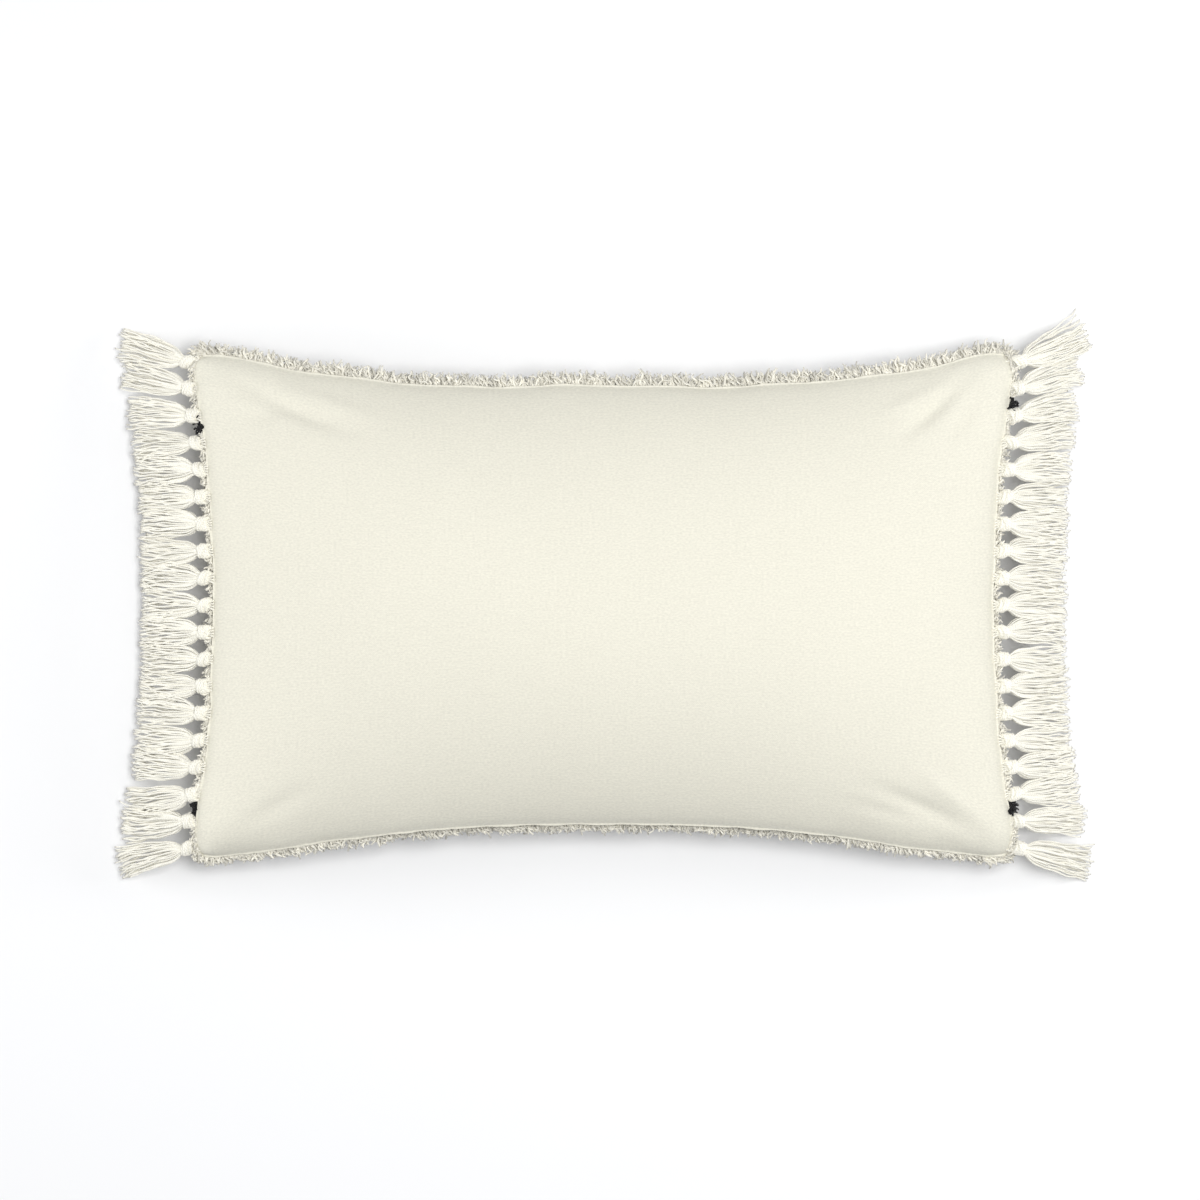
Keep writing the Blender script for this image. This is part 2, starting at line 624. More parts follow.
def inflate(piece, pinned, pressure, frames):
    """Stuffs a sheet with Blender's cloth and keeps the result: pressure from below, no gravity."""
    held = piece.vertex_groups.new(name="seam")
    held.add([int(i) for i in pinned], 1.0, "REPLACE")
    cloth = piece.modifiers.new("stuffing", "CLOTH")
    settings = cloth.settings
    settings.quality = 7
    settings.mass = 0.12
    settings.tension_stiffness = settings.compression_stiffness = 22
    settings.shear_stiffness = 6
    settings.bending_stiffness = 0.35
    settings.tension_damping = settings.compression_damping = 8
    settings.shear_damping = 6
    settings.air_damping = 3
    settings.vertex_group_mass = "seam"
    settings.rest_shape_key = piece.data.shape_keys.key_blocks["cut"]
    settings.use_pressure = True
    settings.uniform_pressure_force = pressure
    settings.effector_weights.gravity = 0
    cloth.collision_settings.use_collision = False
    scene = bpy.context.scene
    cloth.point_cache.frame_start, cloth.point_cache.frame_end = 1, frames
    for number in range(1, frames + 1):
        scene.frame_set(number)
    stuffed = piece.evaluated_get(bpy.context.evaluated_depsgraph_get())
    points = np.empty(len(stuffed.data.vertices) * 3, np.float32)
    stuffed.data.vertices.foreach_get("co", points)
    piece.modifiers.remove(cloth)
    piece.shape_key_clear()
    piece.vertex_groups.clear()
    scene.frame_set(1)
    return points.reshape(-1, 3)


def hem_outwards(loop):
    """Directions in plan that point out of a closed loop of points that runs anticlockwise."""
    along = unit((np.roll(loop, -1, 0) - np.roll(loop, 1, 0)) * [1, 1, 0])
    return np.stack([along[:, 1], -along[:, 0], 0 * along[:, 0]], -1)


def puckers(c, u, v):
    """How far stitches draw the cloth in: ripples along each seam that die out within a few
    centimetres, deeper towards the corners, soft folds near the corners, and a puff in each."""
    x, y = u * c.half_length, v * c.half_width
    depth = 0 * x
    long_seam = (x, c.half_width - np.abs(y), c.half_length, 1, y)
    short_seam = (y, c.half_length - np.abs(x), c.half_width, 5, x)
    for along, away, span, seed, which in (long_seam, short_seam):
        side = np.where(which > 0, 1.3, 0.2)
        wave = sum(
            np.sin(along * k + seed * k + side * j) / j for j, k in ((1, 150.0), (1.4, 265.0), (1.9, 430.0))
        )
        near = np.exp(-(away / (11 * MM)) ** 2) * (1 - np.exp(-(away / (2.5 * MM)) ** 2))
        depth = depth + 0.30 * MM * wave * near * (0.5 + 1.2 * np.abs(along / span) ** 4)
    for cx, cy, turn, long, wide, deep in DENTS:
        dx, dy = x - cx * MM, y - cy * MM
        a = math.radians(turn)
        p, q = dx * math.cos(a) + dy * math.sin(a), dy * math.cos(a) - dx * math.sin(a)
        depth = depth + deep * MM * np.exp(-(p / (long * MM)) ** 2 - (q / (wide * MM)) ** 2)
    off_seams = (1 - np.abs(u) ** 30) * (1 - np.abs(v) ** 30)
    for side_x, side_y, high in CORNER_PUFFS:
        far_off = ((x - side_x * 230 * MM) ** 2 + (y - side_y * 139 * MM) ** 2) / (21 * MM) ** 2
        depth = depth + high * MM * np.exp(-far_off) * off_seams
    return depth


# The fuller corners: which side in x and y, and their height in millimetres.
CORNER_PUFFS = ((-1, -1, 5.0), (1, -1, 3.5), (-1, 1, 2.5), (1, 1, 2.0))
# The soft folds near the corners: x, y, turn in degrees, length, width and depth in millimetres.
DENTS = (
    (-184, 127, -16, 30, 6.0, -3.0), (-160, 134, -16, 22, 4, 1.2), (-209, 118, 28, 18, 6, -1.6),
    (197, 124, 40, 19, 6.0, -3.2), (182, 132, 22, 15, 5, 1.5), (216, 112, 62, 16, 6, -1.6),
    (190, -127, -18, 26, 6, -3.0), (208, -116, -36, 18, 5, 1.6), (170, -133, -8, 20, 4, -1.4),
    (-196, -126, 24, 20, 6, -1.4), (-224, 60, 88, 26, 7, -0.9), (226, -40, 92, 30, 7, -0.9),
)


def woven_back(c):
    """The back panel: its cut, flat sheet is inflated inside the seam's curve, then gets its hem."""
    u, v = np.meshgrid(seam_shares(SIM_COLUMNS), seam_shares(SIM_ROWS), indexing="ij")
    start = layer(c, u, v, HEM_INSET, HEM_INSET, SEAM_GAP + RIM, c.back_rise, 1)
    flat = np.stack([u * c.flat_length / 2, v * c.flat_width / 2, np.zeros_like(u)], -1)
    faces = grid_faces(SIM_COLUMNS, SIM_ROWS)
    points = start
    count = SIM_COLUMNS * SIM_ROWS
    loop = border_loop(np.arange(count).reshape(SIM_COLUMNS, SIM_ROWS))
    sheet = bpy.data.objects.new("sheet", make_mesh("sheet", start, [faces]))
    bpy.context.scene.collection.objects.link(sheet)
    sheet.shape_key_add(name="Basis")
    sheet.shape_key_add(name="cut").data.foreach_set("co", flat.astype(np.float32).ravel())
    points = inflate(sheet, loop, SIM_PRESSURE, SIM_FRAMES).reshape(start.shape)
    bpy.data.objects.remove(sheet)
    seam = layer(c, u, v, HEM_INSET, HEM_INSET, SEAM_GAP + RIM, 0, 1)[..., 2]
    share = c.back_rise / (points[..., 2] - seam).max()
    height = np.maximum(points[..., 2] - seam, 0) * share / c.back_rise
    points[..., 2] = seam + c.back_rise * height ** (0.9 - 0.1 * smooth_step(-v))
    along, across = np.gradient(points, axis=0), np.gradient(points, axis=1)
    normal = unit(np.cross(along, across))
    points = points + normal * puckers(c, u, v)[..., None]
    inner = points - normal * c.cloth
    edge = points.reshape(-1, 3)[loop]
    out = hem_outwards(edge)
    run = np.cumsum(np.linalg.norm(edge - np.roll(edge, 1, 0), axis=-1))[:, None]
    wobble = 1 + 0.22 * np.sin(run * 640) + 0.18 * np.sin(run * 1130 + 1) + 0.2 * np.sin(run * 211)
    out = out * wobble
    up = np.array([0, 0, MM]) * (1 + 0.5 * (wobble - 1))
    hem = [edge + out * a * MM + up * b for a, b in HEM]
    everything = np.concatenate([points.reshape(-1, 3), inner.reshape(-1, 3), *hem])
    lips_of_hem = [2 * count + k * len(loop) + np.arange(len(loop)) for k in range(len(HEM))]
    rings = [loop, *lips_of_hem, loop + count]
    skirt = [np.stack([a, b, np.roll(b, -1), np.roll(a, -1)], -1) for a, b in zip(rings, rings[1:])]
    faces = np.concatenate([faces, faces[:, ::-1] + count, *skirt])
    sheet_uv = flat.reshape(-1, 3)[:, :2]
    spots = np.concatenate([sheet_uv] * 2 + [sheet_uv[loop]] * len(HEM))
    mesh = make_mesh("back_panel_cloth", everything, [faces], [spots[faces]])
    material = cloth_material("cream_cotton", c.cream, c.thread_pitch)
    piece = make_piece("woven_back", mesh, material, "cushion", ["back_panel"])
    finer = piece.modifiers.new("smooth", "SUBSURF")
    finer.levels = finer.render_levels = 1
    cushioned(piece)


# --- Seams --------------------------------------------------------------------------------------

def seam_spot(c, short, side, s, inset, lift=0.0, less=0.0):
    """Point at the share s of a seam, inset inside its edge and lift above it."""
    s = np.asarray(s, float)
    one = np.ones_like(s)
    if short:
        u, v = side * one, s
    else:
        u, v = s, side * one
    x, y = plan(c, u, v, -less - inset * short, -less - inset * (not short))
    z = seam_z(c, u * (1 - less / c.half_length), v * (1 - less / c.half_width)) + lift
    return np.stack(np.broadcast_arrays(x, y, z), -1)


def sections(rings):
    """A closed skin through rings of points, with flat ends: points, faces and UVs in metres."""
    count, size, _ = rings.shape
    quads = grid_faces(count, size, closed=True)
    points = rings.reshape(-1, 3)
    along = np.concatenate([[0], np.cumsum(np.linalg.norm(np.diff(rings[:, 0], axis=0), axis=-1))])
    around = np.concatenate([[0], np.cumsum(np.linalg.norm(np.diff(rings[0], axis=0), axis=-1))])
    around = np.append(around, around[-1] + np.linalg.norm(rings[0, 0] - rings[0, -1]))
    i, j = np.arange(count - 1)[:, None], np.arange(size)[None, :]
    corners = ((0, 0), (1, 0), (1, 1), (0, 1))
    spots = [np.stack(np.broadcast_arrays(along[i + a], around[j + b]), -1) for a, b in corners]
    uv = np.stack(spots, -2).reshape(-1, 4, 2)
    ring = np.arange(size)
    caps = np.stack([ring, (count - 1) * size + ring[::-1]])
    middle = points.mean(0)
    a, b, d = (points[quads[:, k]] - middle for k in (0, 1, 2))
    if (np.cross(a, b) * d).sum() < 0:
        quads, uv, caps = quads[:, ::-1], uv[:, ::-1], caps[:, ::-1]
    return points, [quads, caps], [uv, np.zeros((2, size, 2))]


def seam_strip(c, short, side, start, end, inner, outer, thick, lift=0.0, less=0.0, wave=0.0):
    """A strip with rounded edges along a seam, between two insets. Its inner edge waves like stitched
    cloth: a sum of two sines along the seam."""
    s = np.linspace(start, end, 90)
    flat = np.array([[0, .25], [.06, .45], [.2, .5], [.8, .5], [.94, .45], [1, .25]])
    outline = np.concatenate([flat, flat[::-1] * [1, -1]])
    rings = []
    for across, up in outline:
        ripple = wave * across * (np.sin(s * 61) + 0.6 * np.sin(s * 37 + 1)) * 0.6
        inset = inner + (outer - inner) * across
        rings.append(seam_spot(c, short, side, s, inset, lift + up * thick + ripple, less))
    return sections(np.stack(rings, 1))


def with_mark(points, low, high, seed, each):
    """A mark for every point that is the same within each run of points."""
    count = len(points) // each
    return np.repeat(np.random.default_rng(seed).uniform(low, high, count), each)


# --- Tassels ------------------------------------------------------------------------------------

KNOT_MIDDLE, KNOT_HALF = 1.5 * MM, 3.5 * MM
YARN_START = 3 * MM
YARN_RINGS, YARN_SIDES = 17, 5
WRAPS, WRAP_RINGS, WRAP_SIDES = 4, 20, 8
CROSS_RINGS, CROSS_SIDES, CROSS_REACH = 14, 8, 0.78
CORE_RINGS, CORE_SIDES = 9, 14
# How a skirt spreads: distances from the neck, and its half width and half height there.
FLARE_AT = np.array([2.5, 5.6, 6.8, 9, 13, 24, 42, 56, 60]) * MM
FLARE_WIDE = np.array([2.2, 2.4, 3.4, 5.1, 6.7, 7.8, 8.5, 9.0, 9.1]) * MM
FLARE_HIGH = np.array([2.0, 2.2, 2.7, 3.3, 3.5, 3.3, 3.0, 2.6, 2.5]) * MM
# How far each tassel leans towards +Y, in degrees, from the far seam to the zip's.
LEANS = {
    -1: (-1, 6, 0, -3, 2, 0, 1, -1, 2, 0, -1, 1, 0, 2, -2, 3, -6, 4, 2),
    1: (6, 9, 7, 9, 4, 2, 0, 3, -2, 1, 3, -1, 2, 0, -2, 4, 9, 9, 3),
}


def tassel_line(c, t, number, side):
    """A tassel's foot, its direction in plan, and the angles that it dips by at its ends."""
    v = t.outermost * (1 - 2 * number / (t.count - 1))
    x = side * (t.half_length - t.short_pull * pulled(v) - t.corner_round * abs(v) ** 16 + t.neck_out)
    foot = np.array([x, v * t.half_width, float(seam_z(c, 1, v))])
    lean = LEANS[side][number % len(LEANS[side])]
    splay = t.corner_splay * np.sign(v) * abs(v) ** 6 + math.radians(lean)
    tip = t.tip + t.tip_lift * (1 - abs(v) ** 4)
    slope = math.asin((foot[2] - tip) / (0.986 * t.size))
    return foot, np.array([side * math.cos(splay), math.sin(splay), 0]), slope, t.bend, t.size


def tassel_at(line, s):
    """Points at distances s along a tassel, and the two directions across it: level, and square to both.
    The tassel's angle grows evenly from slope - bend to slope + bend, so that it is a round arc."""
    foot, out, slope, bend, size = line
    first = slope - bend
    rate = 2 * bend / size
    angle = first + rate * np.maximum(s, 0)
    run = (np.sin(angle) - math.sin(first)) / rate + np.minimum(s, 0) * math.cos(first)
    fall = (math.cos(first) - np.cos(angle)) / rate + np.minimum(s, 0) * math.sin(first)
    up = np.array([0, 0, 1.0])
    spot = foot + run[..., None] * out - fall[..., None] * up
    high = np.sin(angle)[..., None] * out + np.cos(angle)[..., None] * up
    wide = np.broadcast_to(np.cross(up, out), spot.shape)
    return spot, wide, high


def yarn_wave(rng, s, loose):
    """A sine wave along each yarn, of its own length and start, as far as the yarn is loose."""
    count = len(s)
    wave = 2 * np.pi * s / rng.uniform(0.019, 0.036, (count, 1)) + rng.uniform(0, 6.28, (count, 1))
    return loose * 0.5 * MM * np.sin(wave)


def tassel_parts(c, t, number, side):
    """The yarns of one tassel's skirt, the wraps of its knot and the knot's core."""
    rng = np.random.default_rng(1000 * (side + 2) + number)
    line = tassel_line(c, t, number, side)
    half = t.strands // 2
    count = 2 * half
    a = np.tile(np.linspace(-1, 1, half), 2) + rng.uniform(-0.7, 0.7, count) / half
    arch = np.sqrt(1 - 0.85 * np.clip(a * a, 0, 1))
    b = np.repeat([0.6, -0.6], half) * arch + rng.uniform(-0.3, 0.3, count)
    uneven = np.clip(rng.normal(0, 0.036, count), -0.11, 0.05)
    ends = t.size * (0.995 + uneven + 0.024 * math.sin(number * 2.1 + side))
    s = YARN_START + (ends - YARN_START)[:, None] * np.linspace(0, 1, YARN_RINGS)
    loose = smooth_step((s - 8 * MM) / (26 * MM))
    sway, bob = (yarn_wave(rng, s, loose) for _ in range(2))
    far = rng.random((count, 1)) < 0.17
    stray = rng.normal(0, 0.5 * MM, (count, 1)) * loose
    stray = stray + far * np.clip(rng.normal(0, 4.2, (count, 1)), -6, 6) * MM * (s / t.size) ** 1.6
    bow = rng.uniform(-1.2, 1.2) * MM
    bow = bow * np.sin(np.pi * (s / t.size) ** 1.5 + rng.uniform(-0.5, 0.5) * a[:, None])
    spot, wide, high = tassel_at(line, s)
    puff = rng.uniform(0.93, 1.07)
    across = a[:, None] * np.interp(s, FLARE_AT, FLARE_WIDE) * puff + sway + stray + bow
    above = b[:, None] * np.interp(s, FLARE_AT, FLARE_HIGH) + bob
    paths = spot + wide * across[..., None] + high * above[..., None]
    paths[..., 2] = np.maximum(paths[..., 2], t.radius * 1.2)
    skirt = tubes(paths, t.radius * rng.uniform(0.85, 1.12, (count, 1)), YARN_SIDES)
    marks = [with_mark(skirt[0], 0.72, 1.0, number, YARN_RINGS * YARN_SIDES)]

    # The knot's wraps: four closed rings that stand across the tassel at a slant.
    wrap_r = 0.98 * MM
    turns = np.linspace(-0.7, 0.7, WRAPS)
    profile = np.sqrt(1 - 0.72 * turns ** 2)[:, None]
    phi = circle(WRAP_RINGS)
    tilt = math.tan(math.radians(rng.uniform(9, 24))) * rng.choice([-1, 1])
    tilt = tilt + rng.uniform(-0.08, 0.08, (WRAPS, 1))
    wide_r = (t.knot_wide - wrap_r) * profile * rng.uniform(0.95, 1.05, (WRAPS, 1))
    high_r = (t.knot_high - wrap_r) * profile
    reach = KNOT_MIDDLE + KNOT_HALF * turns[:, None] + tilt * wide_r * np.cos(phi)
    spot, wide, high = tassel_at(line, reach)
    rings = spot + wide * (wide_r * np.cos(phi))[..., None] + high * (high_r * np.sin(phi))[..., None]
    wraps = tubes(rings, wrap_r, WRAP_SIDES, closed=True)
    marks.append(with_mark(wraps[0], 0.95, 1.1, number + 50, WRAP_RINGS * WRAP_SIDES))

    # Two strands that cross over the wraps.
    turn = np.linspace(-0.5, np.pi + 0.5, CROSS_RINGS)
    way = rng.choice([-1, 1])
    steps = np.linspace(-CROSS_REACH, CROSS_REACH, CROSS_RINGS)
    cross_s = KNOT_MIDDLE + way * steps * KNOT_HALF + np.array([[-0.7], [0.9]]) * MM
    bulge = np.sqrt(1 - 0.6 * steps ** 2)
    spot, wide, high = tassel_at(line, cross_s)
    over = spot + wide * ((t.knot_wide - 0.7 * MM) * bulge * np.cos(turn))[:, None]
    over = over + high * ((t.knot_high - 0.1 * MM) * bulge * np.sin(turn))[:, None]
    crossing = tubes(over, 0.85 * MM, CROSS_SIDES)
    marks.append(with_mark(crossing[0], 1.0, 1.1, number + 90, CROSS_RINGS * CROSS_SIDES))

    # The core that fills the knot: rings that swell and close like a ball's.
    steps = np.linspace(-1, 1, CORE_RINGS)
    swell = np.sqrt(1 - 0.93 * steps ** 2)
    ring = circle(CORE_SIDES)
    reach = np.repeat((KNOT_MIDDLE + KNOT_HALF * steps)[:, None], CORE_SIDES, 1)
    spot, wide, high = tassel_at(line, reach)
    core = spot + wide * (swell[:, None] * (t.knot_wide - 1.3 * MM) * np.cos(ring))[..., None]
    core = core + high * (swell[:, None] * (t.knot_high - 1.3 * MM) * np.sin(ring))[..., None]
    core = sections(core)
    marks.append(np.full(len(core[0]), 0.7))
    return [skirt, wraps, crossing, core], np.concatenate(marks)


def knotted_tassels(c, t):
    """Every tassel, each on its own body, so that it can swing up from the seam."""
    yarn = yarn_material("tassel_yarn", t.cream)
    for side, word in ((-1, "left"), (1, "right")):
        for number in range(t.count):
            parts, marks = tassel_parts(c, t, number, side)
            place = f"{word}_{number + 1:02d}"
            node = f"tassel_{place}"
            assembled(f"yarns_{place}", parts, yarn, node, node, marks)


def fringe_headings(c, t):
    """The woven band in each short seam, and the yarns that run from it to the tassels' necks."""
    yarn = yarn_material("heading_yarn", t.cream, low=0.7)
    # Two rows of four yarns: where they run from and to, and how far apart and how thick they lie there.
    a, b = (share.ravel() for share in np.meshgrid(np.linspace(-1, 1, 4), [-0.5, 0.5]))
    s = np.array([-6.2, -4.4, -2.2, 0.0, 1.6]) * MM
    spread = np.array([3.2, 2.6, 1.7, 1.4, 1.4]) * MM
    stack = np.array([0.5, 0.9, 1.2, 1.4, 1.4])
    for side, word in ((-1, "left"), (1, "right")):
        roots = []
        for number in range(t.count):
            line = tassel_line(c, t, number, side)
            v = line[0][1] / c.half_width
            spot, wide, high = tassel_at(line, np.repeat(s[None], len(a), 0))
            path = spot + wide * (a[:, None] * spread)[..., None]
            path = path + high * (b[:, None] * stack * MM)[..., None]
            inside = seam_spot(c, True, side, np.full(len(a), v), 2.6 * MM)
            path[:, 0, 2] = inside[:, 2] + b * 0.6 * MM
            path[:, 1, 2] = 0.5 * (path[:, 1, 2] + path[:, 0, 2])
            roots.append(path)
        strands = tubes(np.concatenate(roots), 0.62 * MM)
        band = seam_strip(c, True, side, -0.8, 0.8, 1.8 * MM, 5 * MM, 1.2 * MM, wave=0.1 * MM)
        name, node = f"headings_{word}", f"fringe_heading_{word}"
        assembled(name, [strands, band], yarn, "cushion", node, 0.9)


# --- Front cloth and pile -----------------------------------------------------------------------

def front_base(c, u, v):
    """The front panel's outer surface."""
    return layer(c, u, v, 0, 0, SEAM_GAP + RIM, c.back_rise, -1, FRONT_FLOOR)


def front_cloth(c):
    """The front's base cloth, which the tufts stand in. It follows the CAD's layer formula."""
    columns, rows = 70, 44
    u, v = np.meshgrid(seam_shares(columns), seam_shares(rows), indexing="ij")
    points = front_base(c, u, v)
    faces = grid_faces(columns, rows, flip=True)
    flat = np.stack([u * c.flat_length / 2, v * c.flat_width / 2], -1).reshape(-1, 2)
    mesh = make_mesh("front", points, [faces], [flat[faces]])
    cloth = cloth_material("front_cotton", c.cream, 0.9 * MM)
    piece = make_piece("front_base_cloth", mesh, cloth, "cushion", ["front_panel"])
    cushioned(piece, c.cloth)


def tuft_paths(roots, normal, lean, size, free):
    """Cut yarns of four points each. They leave the cloth along its normal and lean over; where the
    table is near, free is 0 and they lie down along it."""
    way = unit(normal + lean * 0.55)
    middle = roots + way * (0.5 * size)[:, None]
    down = way.copy()
    down[:, 2] *= np.where(down[:, 2] < 0, free, 1)
    end = middle + unit(down + 0.35 * lean) * (0.5 * size)[:, None]
    start = roots - normal * 0.4 * MM
    quarter = roots + unit(normal + lean * 0.2) * (0.22 * size)[:, None]
    return np.stack([start, quarter, middle, end], 1)


def field_tufts(c, p):
    """Tufts all over the front, two cut yarns in each: their paths and their plan shares."""
    rng = np.random.default_rng(3)
    across = int(2 * c.half_width / p.spacing) + 1
    along = int(2 * c.half_length / p.spacing) + 1
    u, v = np.meshgrid(seam_shares(along)[1:-1], seam_shares(across)[1:-1], indexing="ij")
    u = np.repeat(u.ravel(), 2)
    v = np.repeat(v.ravel(), 2)
    inside = 0.996
    u = np.clip(u + rng.normal(0, 0.003, u.shape), -inside, inside)
    v = np.clip(v + rng.normal(0, 0.005, v.shape), -inside, inside)
    e = 1e-3
    root = front_base(c, u, v)
    du = front_base(c, np.minimum(u + e, 1), v) - front_base(c, np.maximum(u - e, -1), v)
    dv = front_base(c, u, np.minimum(v + e, 1)) - front_base(c, u, np.maximum(v - e, -1))
    normal = unit(np.cross(dv, du))
    turn = rng.uniform(0, 2 * np.pi, u.shape)
    lean = np.stack([np.cos(turn), np.sin(turn), rng.uniform(-0.3, 0.3, u.shape)], -1)
    size = p.tuft * rng.uniform(0.82, 1.12, u.shape)
    free = np.clip((root[:, 2] - PILE_DEPTH) / p.tuft, 0, 1)
    return tuft_paths(root, normal, lean * 0.9, size, free), u, v


def rim_tufts(c, p, short, side, size, droop, seed):
    """Curly yarn ends that stand out of one seam, just under the back panel's hem. Each winds round
    its own line, and their reach swells and sinks along the seam in clumps."""
    rng = np.random.default_rng(seed)
    span = 2 * (c.half_width if short else c.half_length)
    count = int(span / p.rim_spacing) * p.rim_rows
    s = np.clip(np.linspace(-1, 1, count) + rng.normal(0, 0.002, count), -0.994, 0.994)
    edge = side * rng.uniform(0.987, 1.0, count)
    u, v = (edge, s) if short else (s, edge)
    root = front_base(c, u, v) + [0, 0, 0.5 * MM]
    ahead = seam_spot(c, short, side, np.minimum(s + 0.01, 1), 0) - seam_spot(c, short, side, s - 0.01, 0)
    ahead = unit(ahead * [1, 1, 0])
    out = np.stack([ahead[:, 1], -ahead[:, 0], 0 * s], -1)
    out = out * np.sign((out * root).sum(-1, keepdims=True))
    up = np.broadcast_to([0, 0, 1.0], out.shape)
    corner = (np.abs(s) ** 30)[:, None] * ahead * np.sign(s)[:, None]
    lean = ahead * rng.normal(0, 0.5, (count, 1)) + up * rng.uniform(droop[0], droop[1], (count, 1))
    way = unit(out + corner + lean)
    place = s * span / 2
    clump = 0.86 + 0.14 * np.sin(place * 420 + seed) * np.sin(place * 173 + 2 * seed)
    reach = (size * clump * rng.uniform(0.55, 1.1, count))[:, None, None]
    t = np.linspace(0, 1, 7)[None, :, None]
    turn = rng.uniform(0, 6.28, (count, 1, 1)) + t * rng.uniform(4.0, 9.5, (count, 1, 1))
    curl = rng.uniform(0.5, 1.7, (count, 1, 1)) * MM * np.minimum(1, 2 * t)
    across = unit(np.cross(way, up))[:, None]
    wound = curl * (across * np.cos(turn) + up[:, None] * np.sin(turn))
    return root[:, None] + way[:, None] * (t * reach - 0.4 * MM) + wound, u, v


# Where the dark rows end at the short seams: side, y and reach, in millimetres.
DARK_ENDS = ((-1, 103.7, 2.8), (-1, -119.6, 2.1), (1, 118.6, 4.4), (1, -119.4, 4.6))


def dark_ends(c):
    """Where a dark row ends at a short seam: a bunch of cut yarns that spread out of the seam."""
    rng = np.random.default_rng(31)
    starts, ends = [], []
    many = 16
    for side, y, size in DARK_ENDS:
        root = seam_spot(c, True, side, np.full(many, y * MM / c.half_width), -0.4 * MM, 0.2 * MM)
        way = [side * rng.uniform(-0.35, 1, many), rng.uniform(-1, 1, many), rng.uniform(0, 0.7, many)]
        way = unit(np.stack(way, -1))
        starts.append(root + rng.normal(0, 0.6 * MM, (many, 3)) + [side * 0.8 * MM, 0, 0])
        ends.append(starts[-1] + way * size * MM * rng.uniform(0.8, 1.15, (many, 1)))
    starts, ends = np.concatenate(starts), np.concatenate(ends)
    t = np.linspace(0, 1, 4)[None, :, None]
    bow = rng.normal(0, 0.5 * MM, (len(starts), 1, 3)) * np.sin(np.pi * t)
    skin = tubes(starts[:, None] * (1 - t) + ends[:, None] * t + bow, 0.62 * MM)
    return skin, np.ones(len(skin[0]))


# A yarn's thickness along it, as shares of its radius: straight in the field, curly at the rims.
FIELD_SWELL = (0.85, 1.0, 1.05, 0.8)
RIM_SWELL = (0.7, 0.95, 1.1, 0.85, 1.1, 0.9, 0.6)
TUFT_SIDES = 4
MIDDLE_THIRD = 0.34


def tufted_pile(c, p):
    """The cut pile of the front, in pieces: the middle in three, the strips along both long seams and
    the dark rows."""
    field = [field_tufts(c, p)]
    rims = [rim_tufts(c, p, False, 1, p.far_rim, (-0.8, 0.35), 11)]
    rims.append(rim_tufts(c, p, False, -1, p.zip_rim, (-1.1, 0.0), 12))
    for side in (-1, 1):
        rims.append(rim_tufts(c, p, True, side, p.short_rim, (-0.5, 0.4), 14 + side))
        rims.append(rim_tufts(c, p, True, side, 0.62 * p.short_rim, (0.2, 1.3), 24 + side))
    ivory = tuft_material("ivory_pile", p.ivory)
    black = tuft_material("dark_pile", p.dark)
    parts = {"dark_rows": [dark_ends(c)]}
    for kinds, swell in ((field, FIELD_SWELL), (rims, RIM_SWELL)):
        paths, u, v = (np.concatenate([kind[k] for kind in kinds]) for k in range(3))
        paths[..., 2] = np.maximum(paths[..., 2], p.radius)
        to_far = np.abs(v - p.far_row - p.far_slant * u) < p.row_width / 2
        dark = to_far | (np.abs(v - p.zip_row) < p.row_width / 2)
        far = (v > p.far_row + p.far_slant * u) & ~dark
        near = (v < p.zip_row) & ~dark
        middle = ~(dark | far | near)
        ends = middle & (np.abs(u) > MIDDLE_THIRD)
        chosen = {"middle": middle & ~ends, "middle_left": ends & (u < 0), "middle_right": ends & (u > 0)}
        chosen.update(far_edge=far, zip_edge=near, dark_rows=dark)
        for word, those in chosen.items():
            skin = tubes(paths[those], p.radius * np.array(swell), TUFT_SIDES)
            mark = with_mark(skin[0], 0.2, 1.0, len(parts) + len(swell), TUFT_SIDES * len(swell))
            parts.setdefault(word, []).append((skin, mark))
    nodes = {"far_edge": "pile_far_edge", "zip_edge": "pile_zip_edge", "dark_rows": "pile_stripes"}
    for word, held in parts.items():
        material, slot = (black, "pile_dark") if word == "dark_rows" else (ivory, "pile_ivory")
        marks = np.concatenate([mark for _, mark in held])
        node = nodes.get(word, "pile_middle")
        assembled("tufts_" + word, [skin for skin, _ in held], material, "cushion", node, marks)


# --- Inside the seams ---------------------------------------------------------------------------

# The turned edges' insets along the long and the short seams, and the shares at which they end.
ALLOWANCE = (1.9 * MM, 6.9 * MM)
SHORT_ALLOWANCE = (5.1 * MM, 8.3 * MM)
LONG_END, SHORT_END = 0.86, 0.8


def seam_runs(c):
    """Every run of seam allowance: whether short, its side, its shares, and its edge's insets."""
    zip_end = c.lip_half / c.half_length + 0.1
    runs = [(False, 1, -LONG_END, LONG_END)]
    runs += [(False, -1, -LONG_END, -zip_end), (False, -1, zip_end, LONG_END)]
    runs = [(*run, *ALLOWANCE) for run in runs]
    return runs + [(True, side, -SHORT_END, SHORT_END, *SHORT_ALLOWANCE) for side in (-1, 1)]


